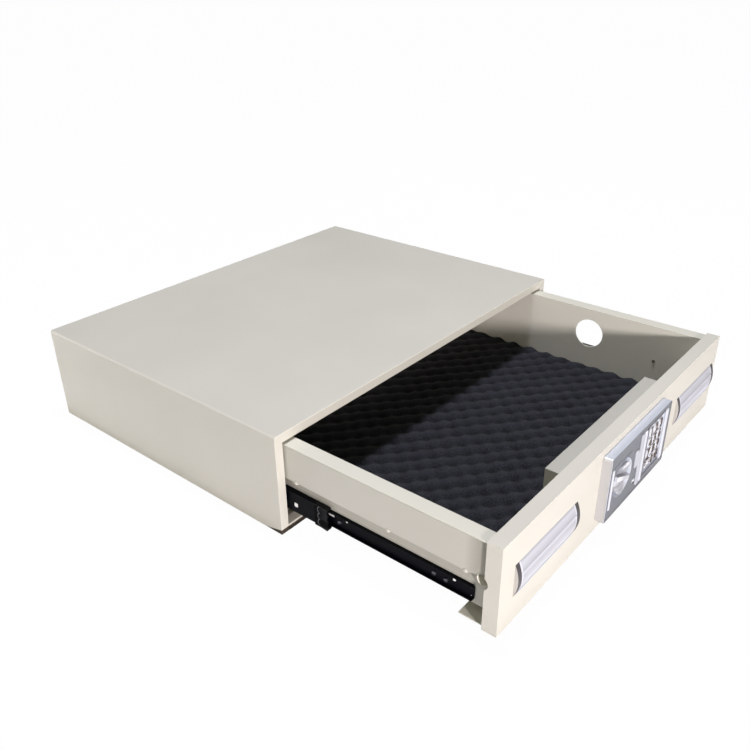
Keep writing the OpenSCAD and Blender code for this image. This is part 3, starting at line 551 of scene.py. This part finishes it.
def placed(name, data):
    """Object of some data, put into the scene."""
    obj = bpy.data.objects.new(name, data)
    bpy.context.scene.collection.objects.link(obj)
    return obj


def piece(name, bm, body, slots, replaces=()):
    """Object of a finished bmesh that rides on a body, with one finish for each of its slots."""
    mesh = bpy.data.meshes.new(name)
    for face in bm.faces:
        face.smooth = True
    bm.to_mesh(mesh)
    bm.free()
    mesh.set_sharp_from_angle(angle=SHARP)
    obj = placed(name, mesh)
    for slot in slots:
        mesh.materials.append(coat(slot))
    obj.modifiers.new("Flat faces stay flat", "WEIGHTED_NORMAL").keep_sharp = True
    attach(obj, body)
    if replaces:
        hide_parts(*replaces)
    return obj


def facing(way, up="Y"):
    """Turn of a form made along Z, so that it faces a way."""
    return way.to_track_quat("Z", up).to_matrix().to_4x4()


def outward(bm):
    """Points every face outwards."""
    bmesh.ops.recalc_face_normals(bm, faces=bm.faces)


def bevel(bm, edges, radius, segments):
    bmesh.ops.bevel(bm, geom=edges, offset=radius, offset_type="OFFSET", segments=segments, profile=0.5,
                    affect="EDGES", clamp_overlap=True, material=-1)


def soften(bm, radius, segments=2, angle=25):
    """Rounds every edge that is sharper than angle, in degrees."""
    sharp = [edge for edge in bm.edges
             if len(edge.link_faces) == 2 and edge.calc_face_angle(0) > math.radians(angle)]
    bevel(bm, sharp, radius, segments)


def cut(bm, place, normal, clear=False):
    """Cuts along a plane, and with clear takes away what lies beyond it; gives the new edges."""
    made = bmesh.ops.bisect_plane(bm, geom=bm.verts[:] + bm.edges[:] + bm.faces[:], dist=MERGE,
                                  plane_co=place, plane_no=normal, clear_outer=clear)
    return only(made["geom_cut"], EDGE)


def thicken(bm, way):
    """Gives a flat form its thickness, along way."""
    made = bmesh.ops.extrude_face_region(bm, geom=bm.faces[:])["geom"]
    bmesh.ops.translate(bm, verts=only(made, VERT), vec=way)
    outward(bm)


def dress(node, radius, segments=2, shape=None, slots=None):
    """Softened stand-in for a CAD node, from its merged triangles, in the finish of its slot."""
    bm = bmesh.new()
    bm.from_mesh(NODES[node].data)
    bmesh.ops.remove_doubles(bm, verts=bm.verts, dist=1e-6)
    bmesh.ops.dissolve_limit(bm, angle_limit=FLAT, verts=bm.verts, edges=bm.edges)
    if shape:
        shape(bm)
    soften(bm, radius, segments)
    return piece(f"{node}_shown", bm, body_of(node), slots or [SLOTS[node]], [node])


def recoat(node):
    """Gives a CAD node's own mesh, seen only inside the safe, the finish of its slot."""
    mesh = NODES[node].data
    mesh.materials.clear()
    mesh.materials.append(coat(SLOTS[node]))


def raised(name, slot, outlines, y, depth, radius, segments=3):
    """Silver panel of the drawer, its back at y; its outlines in x and z are the rim and any hole."""
    bm = bmesh.new()
    loops = [[bm.verts.new((x, y, z)) for x, z in outline] for outline in outlines]
    edges = [bm.edges.new((loop[i - 1], loop[i])) for loop in loops for i in range(len(loop))]
    bmesh.ops.triangle_fill(bm, edges=edges, use_beauty=True)
    bmesh.ops.dissolve_limit(bm, angle_limit=FLAT, verts=[], edges=bm.edges)
    thicken(bm, FRONT * depth)
    rims = [edge for edge in bm.edges if all(abs(v.co.y - (y - depth)) < MERGE for v in edge.verts)
            and len(edge.link_faces) == 2 and edge.calc_face_angle(0) > 0.5]
    bevel(bm, rims, radius, segments)
    return piece(name, bm, "drawer", [slot])


def rounded(x, z, r, steps=5):
    """Outline of a rectangle with round corners, counterclockwise in x and z."""
    corners = [(x[1] - r, z[1] - r, 0), (x[0] + r, z[1] - r, 90), (x[0] + r, z[0] + r, 180),
               (x[1] - r, z[0] + r, 270)]
    return [(cx + r * math.cos(math.radians(start + 90 * i / steps)),
             cz + r * math.sin(math.radians(start + 90 * i / steps)))
            for cx, cz, start in corners for i in range(steps + 1)]


def circle(x, z, r, steps=64):
    turns = [2 * math.pi * i / steps for i in range(steps)]
    return [(x + r * math.cos(a), z + r * math.sin(a)) for a in turns]


# Operators

class SAFE_OT_case(bpy.types.Operator):
    """Case: folded sleeve, back, base with its sill, rubber strips and slide brackets"""
    bl_idname = "safe.case"
    bl_label = "Case"

    def execute(self, context):
        edge = settings().enamel.edge
        sleeve = dress("case_sleeve", edge, 3, slots=["case_enamel", "lip_enamel"])
        # Painted light: the front faces of the sleeve take a lighter copy of its coat
        for polygon in sleeve.data.polygons:
            polygon.material_index = int(polygon.normal.y < -0.7)
        dress("case_back", edge / 2, slots=["case_enamel"])
        dress("case_base", edge / 2, slots=["case_enamel"])
        dress("foot_strips", edge)
        for side, _ in SIDES:
            dress(f"slide_brackets_{side}", edge / 3)
        return {"FINISHED"}


class SAFE_OT_drawer(bpy.types.Operator):
    """Drawer: front panel, tray with its rim, side skins, studs, bolt collars, screws and lock covers"""
    bl_idname = "safe.drawer"
    bl_label = "Drawer"

    def execute(self, context):
        edge = settings().enamel.edge
        dress("panel_shell", edge, 3, slots=["panel_enamel"])
        dress("panel_back_plate", edge / 3)
        dress("drawer_tray", edge * 0.7, 3, slots=["tray_enamel"])
        for side, _ in SIDES:
            dress(f"drawer_skin_{side}", edge * 0.6, 3, slots=["skin_enamel"])
            dress(f"bolt_cover_{side}", edge * 0.8)
        dress("lock_cover", edge * 0.8, 3, slots=["cover_enamel"])
        for side, sign in SIDES:
            self.bolt_lining(side, sign)
        dress("skin_rivets", edge / 4, slots=["case_enamel"])
        dress("tray_wall_screws", edge / 3, slots=["stud_grey"])
        return {"FINISHED"}

    def bolt_lining(self, side, sign):
        """Enamelled collar round the bolt, between the side skin and the wall of the tray."""
        bore, outside, sunk, deep = 0.00708, 0.0073, 0.0032, 0.0168
        skin = max(abs(corner.x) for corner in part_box(f"drawer_skin_{side}"))
        near, far = skin - sunk, skin - deep
        profile = [(near, bore), (near, outside), (far, outside), (far, bore)]
        bm = bmesh.new()
        verts = [bm.verts.new((sign * x, BOLT_AXIS.y + r, BOLT_AXIS.z)) for x, r in profile]
        edges = [bm.edges.new((verts[i - 1], verts[i])) for i in range(4)]
        bmesh.ops.spin(bm, geom=verts + edges, cent=BOLT_AXIS, axis=(1, 0, 0), angle=2 * math.pi, steps=40,
                       use_merge=True)
        bmesh.ops.remove_doubles(bm, verts=bm.verts, dist=MERGE)
        outward(bm)
        piece(f"bolt_lining_{side}", bm, "drawer", ["tray_enamel"])


class SAFE_OT_foam(bpy.types.Operator):
    """Foam liner with crossed rows of waves, on the floor of the drawer"""
    bl_idname = "safe.foam"
    bl_label = "Foam liner"

    # Share of each row of waves in a crest
    ROWS = (0.33, 0.17)
    # Scale and strength of the noise in the wander of the rows, and in the roughness of the top
    WANDER, ROUGHNESS = (18, 0.9), ((260, 0.0004), (55, 0.0006))

    def execute(self, context):
        s = settings().foam
        sunk = 0.0006
        low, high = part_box("foam_liner")
        centre = (low + high) / 2
        size = high - low
        bm = bmesh.new()
        bmesh.ops.create_grid(bm, x_segments=round(size.x / s.cell), y_segments=round(size.y / s.cell),
                              size=0.5, matrix=Matrix.Translation((centre.x, centre.y, high.z))
                              @ Matrix.Diagonal((size.x, size.y, 1, 1)))
        ways = [Vector((math.cos(s.turn), math.sin(s.turn), 0)),
                Vector((-math.sin(s.turn), math.cos(s.turn), 0))]
        for vert in bm.verts:
            place = vert.co
            wander = noise.noise(place * self.WANDER[0]) * self.WANDER[1]
            phases = [2 * math.pi * place.dot(way) / s.pitch + wander for way in ways]
            crest = 0.5 + sum(share * math.cos(phase) for share, phase in zip(self.ROWS, phases))
            rough = sum(noise.noise(place * scale) * height for scale, height in self.ROUGHNESS)
            vert.co.z = high.z - s.wave * (1 - crest) + rough - sunk
        border = [edge for edge in bm.edges if edge.is_boundary]
        skirt = bmesh.ops.extrude_edge_only(bm, edges=border)["geom"]
        for vert in only(skirt, VERT):
            vert.co.z = low.z
        bmesh.ops.contextual_create(bm, geom=[edge for edge in only(skirt, EDGE) if edge.is_boundary])
        outward(bm)
        foam = piece("foam_liner_waves", bm, "drawer", ["foam"], ["foam_liner"])
        return {"FINISHED"}


class SAFE_OT_slides(bpy.types.Operator):
    """Ball slides: three black members, cages with their balls, end guard, fittings and screws"""
    bl_idname = "safe.slides"
    bl_label = "Ball slides"

    # Spans in y and z of the holes in the drawer member, and whether the fitting in each is round
    HOLES = (((-0.455, -0.450), (0.046, 0.050), True), ((-0.311, -0.3075), (0.0475, 0.051), True),
             ((-0.291, -0.282), (0.0462, 0.0494), False))
    # Places in y and z of the screws and of the dimples
    SCREWS = ((-0.4284, 0.0441), (-0.4430, 0.0431), (-0.2991, 0.0444))
    DIMPLES = ((-0.4735, 0.0505), (-0.4735, 0.0405))
    SHEET = 0.0012
    # Distance from one wave to the next of the guard's end and of its ribs
    WAVE = 0.0086

    def execute(self, context):
        s = settings().slides
        edge, guard_edge, window, window_set, window_z = 0.00035, 0.00025, 0.006, 0.045, (0.039, 0.045)
        for side, sign in SIDES:
            low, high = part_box(f"slide_drawer_member_{side}")
            dress(f"slide_drawer_member_{side}", edge,
                  shape=lambda bm: self.round_end(bm, low, high, s.end_round))
            dress(f"slide_middle_member_{side}", edge)
            dress(f"slide_case_member_{side}", edge)
            middle_low, middle_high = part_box(f"slide_middle_member_{side}")
            dress(f"slide_guard_{side}", guard_edge,
                  shape=lambda bm: self.wavy_end(bm, side, middle_high.z))
            self.guard_ribs(side, sign)
            recoat(f"ball_cage_outer_{side}")
            recoat(f"ball_cage_inner_{side}")
            web = min(abs(low.x), abs(high.x))
            self.screws(side, sign, sign * (web + self.SHEET), s.screw_r)
            for number, (y, z, is_round) in enumerate(self.HOLES, 1):
                self.fitting(f"slide_rivet_{side}_{number}", "drawer", sign, web, y, z, is_round)
            outer = max(abs(middle_low.x), abs(middle_high.x))
            y = middle_low.y + window_set
            self.fitting(f"slide_catch_{side}", body_of(f"slide_middle_member_{side}"), sign,
                         outer - self.SHEET, (y, y + window), window_z, False)
        return {"FINISHED"}

    def round_end(self, bm, low, high, radius):
        """Rounds the two corners at the front end of a channel, by cuts along tangents."""
        for up, z_edge in ((-1, low.z), (1, high.z)):
            centre = Vector((0, low.y + radius, z_edge - up * radius))
            for angle in (22.5, 45, 67.5):
                out = Vector((0, -math.cos(math.radians(angle)), up * math.sin(math.radians(angle))))
                bmesh.ops.edgenet_fill(bm, edges=cut(bm, centre + out * radius, out, True))

    def wavy_end(self, bm, side, top):
        """Wavy front end of the guard; its top lies flush with the slide member inside it."""
        low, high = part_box(f"slide_guard_{side}")
        levels, end, depth, first, flush, heel = 30, 0.0005, 0.0008, 0.003, 0.0003, 0.0022
        for number in range(1, levels):
            cut(bm, (0, 0, low.z + (high.z - low.z) * number / levels), (0, 0, 1))
        for vert in bm.verts:
            co = vert.co
            if co.y < low.y + end:
                co.y += depth * (1 - math.cos(2 * math.pi * (high.z - first - co.z) / self.WAVE))
            if co.z > top + flush:
                co.z = top + flush
            if co.y > high.y - end and co.z < low.z + flush:
                co.z += heel

    def guard_ribs(self, side, sign):
        """Three curved ribs in a wavy row on the outer face of the end guard."""
        guard = f"slide_guard_{side}"
        low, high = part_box(guard)
        radius, sunk, bow, set_back, half = 0.0006, 0.0004, 0.0045, 0.0105, math.radians(75)
        face = max(abs(low.x), abs(high.x)) * sign
        arm = Vector((0, math.cos(half), -math.sin(half))) * bow
        turn = facing(Vector((1, 0, 0)).cross(arm).normalized(), "X")
        bm = bmesh.new()
        for number in (-1, 0, 1):
            middle = (low.z + high.z) / 2 + number * self.WAVE
            centre = Vector((face - sign * sunk, low.y + set_back, middle))
            ring = bmesh.ops.create_circle(bm, segments=10, radius=radius)["verts"]
            bmesh.ops.transform(bm, verts=ring, matrix=Matrix.Translation(centre + arm) @ turn)
            edges = list({edge for vert in ring for edge in vert.link_edges})
            swept = bmesh.ops.spin(bm, geom=ring + edges, cent=centre, axis=(1, 0, 0), angle=2 * half,
                                   steps=12, use_merge=False)
            bmesh.ops.contextual_create(bm, geom=edges)
            bmesh.ops.contextual_create(bm, geom=only(swept["geom_last"], EDGE))
        outward(bm)
        piece(f"guard_ribs_{side}", bm, body_of(guard), ["rib_gloss"])

    def fitting(self, name, body, sign, web, y, z, is_round):
        """Bright zinc fitting set in a hole of a slide member: a rivet, or a square tongue."""
        gap, thick, out, edge = 0.0003, 0.0009, 0.00055, 0.0003
        width, height = y[1] - y[0] - 2 * gap, z[1] - z[0] - 2 * gap
        place = Matrix.Translation((sign * (web + out), sum(y) / 2, sum(z) / 2))
        bm = bmesh.new()
        if is_round:
            radius = min(width, height) / 2
            bmesh.ops.create_cone(bm, cap_ends=True, segments=24, radius1=radius, radius2=radius,
                                  depth=thick, matrix=place @ Matrix.Rotation(math.radians(90), 4, "Y"))
        else:
            bmesh.ops.create_cube(bm, size=1, matrix=place @ Matrix.Diagonal((thick, width, height, 1)))
        soften(bm, edge, 3, 40)
        piece(name, bm, body, ["zinc"])

    def screws(self, side, sign, face, radius):
        """Pan heads with a socket, and small dimples, in the web of the drawer member."""
        height, socket, edge, dimple = 0.0016, 0.0009, 0.00025, 0.0009
        taper, wall = 0.8, 0.34
        out = Vector((sign, 0, 0))
        turn = facing(out)
        for number, (y, z) in enumerate(self.SCREWS, 1):
            bm = bmesh.new()
            place = Matrix.Translation((face + sign * height / 2, y, z))
            bmesh.ops.create_cone(bm, cap_ends=True, segments=24, radius1=radius, radius2=radius * taper,
                                  depth=height, matrix=place @ turn)
            top = max(bm.faces, key=lambda f: f.calc_center_median().x * sign)
            bmesh.ops.inset_region(bm, faces=[top], thickness=radius * wall)
            bmesh.ops.translate(bm, verts=top.verts, vec=-out * socket)
            soften(bm, edge, 2, 40)
            piece(f"slide_screw_{side}_{number}", bm, "drawer", ["dark_screw"])
        bm = bmesh.new()
        for y, z in self.DIMPLES:
            bmesh.ops.create_uvsphere(bm, u_segments=16, v_segments=8, radius=dimple,
                                      matrix=Matrix.Translation((face, y, z)))
        piece(f"slide_dimples_{side}", bm, "drawer", ["dark_screw"])


class SAFE_OT_housing(bpy.types.Operator):
    """Lock housing with its dish, ribs, bars and leaf, signal lamp and keypad plate"""
    bl_idname = "safe.housing"
    bl_label = "Lock housing"

    # Raised forms on the face, in millimetres: name, slot, depth and edge radius, then spans in x and z with
    # the radius of the corners, or the outlines
    LEAF = ((-9.4, 85.1), (-7.6, 88.7), (-1.9, 88.7), (1.8, 83.2), (1.8, 64.6), (-6.9, 64), (-9.1, 66.6))
    RAISED = (
        # Painted highlight: a bright strip along the lit left edge of the face
        ("lock_edge", "silver_bar", 0.4, 0.3, (-78.4, -77.5), (27, 111), 0.4),
        ("lock_rib", "silver_bar", 1.3, 1.1, (-72.6, -68.6), (41, 96), 1.2),
        # Painted highlight: a lighter line where the rib's top edge catches light
        ("lock_rib_top", "silver_line", 0.5, 0.4, (-67, -21), (95.1, 96.5), 0.6),
        ("lamp_rim", "silver_bar", 0.8, 0.5, circle(-4, 44.6, 3.3), circle(-4, 44, 2.2)),
        # One bar in two strips: the darker left one is painted shade, the brighter right one painted light
        # across its curve
        ("lock_bar", "silver_soft", 1.6, 1.5, (2.0, 11.5), (34, 106), 3),
        ("lock_bar_right", "silver_bar", 1.3, 1.1, (11.7, 18.6), (34, 106), 3),
        ("lock_leaf", "silver_soft", 1.2, 1.0, LEAF),
        ("keypad_bar_right", "silver_bar", 1.2, 1.1, (73.0, 81.0), (35, 107), 2),
        # Painted shade: dark lines in the groove left of the keypad and along the edges of its sunk plate
        ("keypad_line", "frame_grey", 0.3, 0.2, (19.4, 24.2), (35, 107), 0.4),
        ("keypad_line_top", "frame_grey", 0.3, 0.2, (24.4, 72.5), (105.3, 107), 0.4),
        ("keypad_line_low", "frame_grey", 0.3, 0.2, (24.2, 72.5), (36.4, 38.7), 0.4),
    )

    def execute(self, context):
        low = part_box("lock_housing")[0]
        face = low.y
        near, wall = 0.0006, 0.006
        shell = dress("lock_housing", settings().lock.edge, 3,
                      slots=["silver_plastic", "silver_face", "silver_bar", "silver_side"])
        # Painted light: a bright highlight on the dish's rim where it faces left, and a lighter, warmer copy
        # of the silver on the left side
        for polygon in shell.data.polygons:
            out = Vector((polygon.center.x, polygon.center.z)) - KNOB_AXIS
            if polygon.normal.y < -0.95 and polygon.center.y < face + 0.1 * MM:
                polygon.material_index = 1
            elif abs(out.length - DISH_RADIUS) < near and polygon.normal.x < -0.25:
                polygon.material_index = 2
            elif polygon.normal.x < -0.5 and polygon.center.x < low.x + wall:
                polygon.material_index = 3
        for name, slot, depth, edge, *form in self.RAISED:
            if len(form) == 3:
                form = [rounded(*form)]
            outlines = [[mm(*point) for point in outline] for outline in form]
            raised(name, slot, outlines, face, depth * MM, edge * MM, 4)
        dress("signal_lamp", 0.0004, 3)
        dress("keypad_plate", 0.0004, slots=["plate_silver"])
        return {"FINISHED"}


class SAFE_OT_knob(bpy.types.Operator):
    """Turn knob with its two scoops"""
    bl_idname = "safe.knob"
    bl_label = "Turn knob"

    def execute(self, context):
        dress("turn_knob", settings().lock.edge, 3, slots=["knob_silver"])
        return {"FINISHED"}


class SAFE_OT_keys(bpy.types.Operator):
    """Twelve keys with raised figures"""
    bl_idname = "safe.keys"
    bl_label = "Keys"

    SIGNS = {"key_star": "*", "key_hash": "#"}
    # Type size for a figure of height 1, and of the star beside it; half the thickness, and added stroke
    TYPE, STAR, THICK, BOLD = 1.38, 1.9, 0.00012, 0.00112

    def execute(self, context):
        for node in sorted(n for n in SLOTS if n.startswith("key_")):
            dress(node, 0.0005, 3)
            self.figure(node, self.SIGNS.get(node, node[-1]), settings().lock.figure)
        return {"FINISHED"}

    def figure(self, node, text, height):
        """Raised figure a tenth of a millimetre thick, in the middle of a key's face."""
        low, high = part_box(node)
        curve = bpy.data.curves.new(f"{node}_figure", "FONT")
        curve.body = text
        curve.size = height * self.TYPE
        curve.extrude = self.THICK
        curve.offset = self.BOLD
        curve.resolution_u = 4
        glyph = placed(f"{node}_outline", curve)
        bpy.context.view_layer.update()
        mesh = bpy.data.meshes.new_from_object(glyph.evaluated_get(bpy.context.evaluated_depsgraph_get()))
        bpy.data.objects.remove(glyph)
        bm = bmesh.new()
        bm.from_mesh(mesh)
        bpy.data.meshes.remove(mesh)
        bmesh.ops.remove_doubles(bm, verts=bm.verts, dist=MERGE)
        middle = [(min(v.co[i] for v in bm.verts) + max(v.co[i] for v in bm.verts)) / 2 for i in range(2)]
        k = self.STAR if text == "*" else 1
        place = (Matrix.Translation(((low.x + high.x) / 2, low.y, (low.z + high.z) / 2))
                 @ Matrix.Rotation(math.radians(90), 4, "X") @ Matrix.Diagonal((k, k, 1, 1))
                 @ Matrix.Translation((-middle[0], -middle[1], 0)))
        bmesh.ops.transform(bm, matrix=place, verts=bm.verts)
        outward(bm)
        piece(f"{node}_figure", bm, body_of(node), ["key_ink"])


class SAFE_OT_handles(bpy.types.Operator):
    """Both handles: fixed strip, flap, dark cheeks with a pale end, finger cup and its lower lip"""
    bl_idname = "safe.handles"
    bl_label = "Handles"

    def execute(self, context):
        edge = settings().handles.edge
        lip_half, lip_z, lip_corner, lip_depth, lip_edge = 0.0575, mm(45.1, 46.6), 0.0004, 0.0012, 0.0005
        cheek = 0.0065
        dress("handle_cups", edge / 2)
        dress("handle_pulls", edge, 3, slots=["handle_silver"])
        dress("handle_cheeks", edge, 3)
        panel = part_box("panel_shell")[0].y
        for side, _ in SIDES:
            dress(f"handle_flap_{side}", edge / 2, slots=["handle_silver"])
            middle = sum(corner.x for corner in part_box(f"handle_flap_{side}")) / 2
            x = (middle - lip_half, middle + lip_half)
            raised(f"handle_lip_{side}", "silver_plastic", [rounded(x, lip_z, lip_corner, 2)], panel,
                   lip_depth, lip_edge)
            self.end_face(side, x[0] - cheek, panel)
        return {"FINISHED"}

    def end_face(self, side, x, panel):
        """Pale crescent on the outer side of a handle's left cheek."""
        steps, share, inset, root, thick, edge = 24, 0.985, 0.0003, 0.0002, 0.0005, 0.0002
        low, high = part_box("handle_cheeks")
        bulge = panel - low.y
        half = (high.z - low.z) / 2
        middle = (high.z + low.z) / 2
        r = (half * half + bulge * bulge) / (2 * bulge)
        span = math.asin(half / r) * share
        turns = [span * (2 * i / steps - 1) for i in range(steps + 1)]
        bm = bmesh.new()
        verts = [bm.verts.new((x, low.y + r - (r - inset) * math.cos(a), middle + r * math.sin(a)))
                 for a in turns]
        verts += [bm.verts.new((x, panel + root, verts[i].co.z)) for i in (-1, 0)]
        bm.faces.new(verts)
        thicken(bm, (-thick, 0, 0))
        soften(bm, edge, 2, 40)
        piece(f"handle_end_{side}", bm, "drawer", ["warm_grey"])


class SAFE_OT_lock_works(bpy.types.Operator):
    """Works inside the panel: spindle, crank disc, bolts, solenoid, board and batteries"""
    bl_idname = "safe.lock_works"
    bl_label = "Lock works"

    def execute(self, context):
        for node, edge in (("spindle", 0.3), ("crank_disc", 0.4), ("bolt_left", 0.6), ("bolt_right", 0.6),
                           ("solenoid", 0.4), ("solenoid_plunger", 0.3), ("circuit_board", 0.2),
                           ("battery_holder", 0.3), ("batteries", 0.5)):
            dress(node, edge * MM)
        return {"FINISHED"}


class SAFE_OT_stage(bpy.types.Operator):
    """Pale floor, soft lights, even surroundings and the camera"""
    bl_idname = "safe.stage"
    bl_label = "Stage"

    WHITE, SKY = (1, 1, 1), (0.98, 1.0, 0.85)
    # Point that the lights face
    AIM = Vector((0, -0.15, 0.06))
    # Place of the camera, its yaw, pitch and roll in degrees, and the shift of its picture
    CAMERA = Vector((-0.7922, -0.7821, 0.6081))
    ANGLES, SHIFT = (50.35, 28.57, -0.66), (-0.0045, 0.0053)

    def execute(self, context):
        s = settings().stage
        self.floor(s)
        self.surroundings(s)
        for name, place, size, power, colour in (
                ("front_light", (-1.32, -2.62, 0.60), 0.25, s.front, (1.0, 0.925, 0.935)),
                ("side_light", (-0.60, 0.75, 0.15), 0.20, s.side, (1.0, 0.975, 0.95)),
                ("top_light", (-0.03, -0.22, 2.66), 0.30, s.top, (0.89, 0.885, 1.0))):
            self.light(name, place, size, power, colour)
        self.camera(s)
        context.scene.view_settings.view_transform = "Standard"
        return {"FINISHED"}

    def floor(self, s):
        """Pale floor; the camera sees it as even as paper."""
        bm = bmesh.new()
        bmesh.ops.create_grid(bm, x_segments=1, y_segments=1, size=30)
        mesh = bpy.data.meshes.new("floor")
        bm.to_mesh(mesh)
        bm.free()
        floor = placed("floor", mesh)
        paint = Paint("floor_paint")
        seen = paint.add("ShaderNodeLightPath", out="Is Camera Ray")
        paper = paint.add("ShaderNodeBsdfDiffuse", None, {"Color": rgba(s.floor)})
        glow = paint.add("ShaderNodeEmission", None, {"Color": rgba(self.WHITE), "Strength": 1})
        both = paint.add("ShaderNodeMixShader", None, {0: seen * 0.98, 1: paper, 2: glow})
        mesh.materials.append(paint.closed(both))

    def surroundings(self, s):
        """Even light from all sides, white to the camera."""
        paint = Paint("surroundings", "worlds")
        seen = paint.add("ShaderNodeLightPath", out="Is Camera Ray")
        level = paint.add("ShaderNodeMapRange", None, {"Value": seen, "To Min": s.ambient, "To Max": 1})
        sky = paint.add("ShaderNodeBackground", None,
                        {"Color": paint.mix(seen, self.SKY, self.WHITE), "Strength": level})
        bpy.context.scene.world = paint.closed(sky, "ShaderNodeOutputWorld")

    def light(self, name, place, size, power, colour):
        """Round soft light that faces the safe."""
        data = bpy.data.lights.new(name, "AREA")
        data.shape = "DISK"
        data.size = size
        data.energy = power
        data.color = colour
        placed(name, data).matrix_world = Matrix.Translation(place) @ facing(Vector(place) - self.AIM)

    def camera(self, s):
        data = bpy.data.cameras.new("camera")
        data.lens = s.lens
        data.sensor_width = 36
        data.sensor_fit = "HORIZONTAL"
        data.shift_x, data.shift_y = self.SHIFT
        data.clip_end = 100
        yaw, pitch, roll = (math.radians(angle) for angle in self.ANGLES)
        flat = Vector((math.sin(yaw), math.cos(yaw), 0))
        ahead = flat * math.cos(pitch) - Vector((0, 0, math.sin(pitch)))
        level = Vector((math.cos(yaw), -math.sin(yaw), 0))
        upright = flat * math.sin(pitch) + Vector((0, 0, math.cos(pitch)))
        right = level * math.cos(roll) + upright * math.sin(roll)
        up = upright * math.cos(roll) - level * math.sin(roll)
        axes = Matrix((right, up, -ahead)).transposed().to_4x4()
        camera = placed("camera", data)
        camera.matrix_world = Matrix.Translation(self.CAMERA) @ axes
        bpy.context.scene.camera = camera


OPERATORS = (SAFE_OT_case, SAFE_OT_drawer, SAFE_OT_foam, SAFE_OT_slides, SAFE_OT_housing, SAFE_OT_knob,
             SAFE_OT_keys, SAFE_OT_handles, SAFE_OT_lock_works, SAFE_OT_stage)


class SAFE_PT_pieces(bpy.types.Panel):
    """Sizes, colours and pieces of the drawer safe"""
    bl_idname = "SAFE_PT_pieces"
    bl_label = "Drawer safe"
    bl_space_type = "VIEW_3D"
    bl_region_type = "UI"
    bl_category = "Drawer safe"

    def draw(self, context):
        layout = self.layout
        safe = context.scene.drawer_safe
        for title in SafeSettings.__annotations__:
            box = layout.box()
            box.label(text=title.capitalize())
            group = getattr(safe, title)
            for key in group.__annotations__:
                box.prop(group, key)
        for operator in OPERATORS:
            layout.operator(operator.bl_idname)


CLASSES = (EnamelSettings, SlideSettings, FoamSettings, LockSettings, HandleSettings, StageSettings,
           SafeSettings, *OPERATORS, SAFE_PT_pieces)


def register():
    for item in CLASSES:
        bpy.utils.register_class(item)
    bpy.types.Scene.drawer_safe = PointerProperty(type=SafeSettings)


def unregister():
    del bpy.types.Scene.drawer_safe
    for item in reversed(CLASSES):
        bpy.utils.unregister_class(item)


def main():
    register()
    bpy.ops.safe.case()
    bpy.ops.safe.drawer()
    bpy.ops.safe.foam()
    bpy.ops.safe.slides()
    bpy.ops.safe.housing()
    bpy.ops.safe.knob()
    bpy.ops.safe.keys()
    bpy.ops.safe.handles()
    bpy.ops.safe.lock_works()
    bpy.ops.safe.stage()


if __name__ == "__main__":
    main()
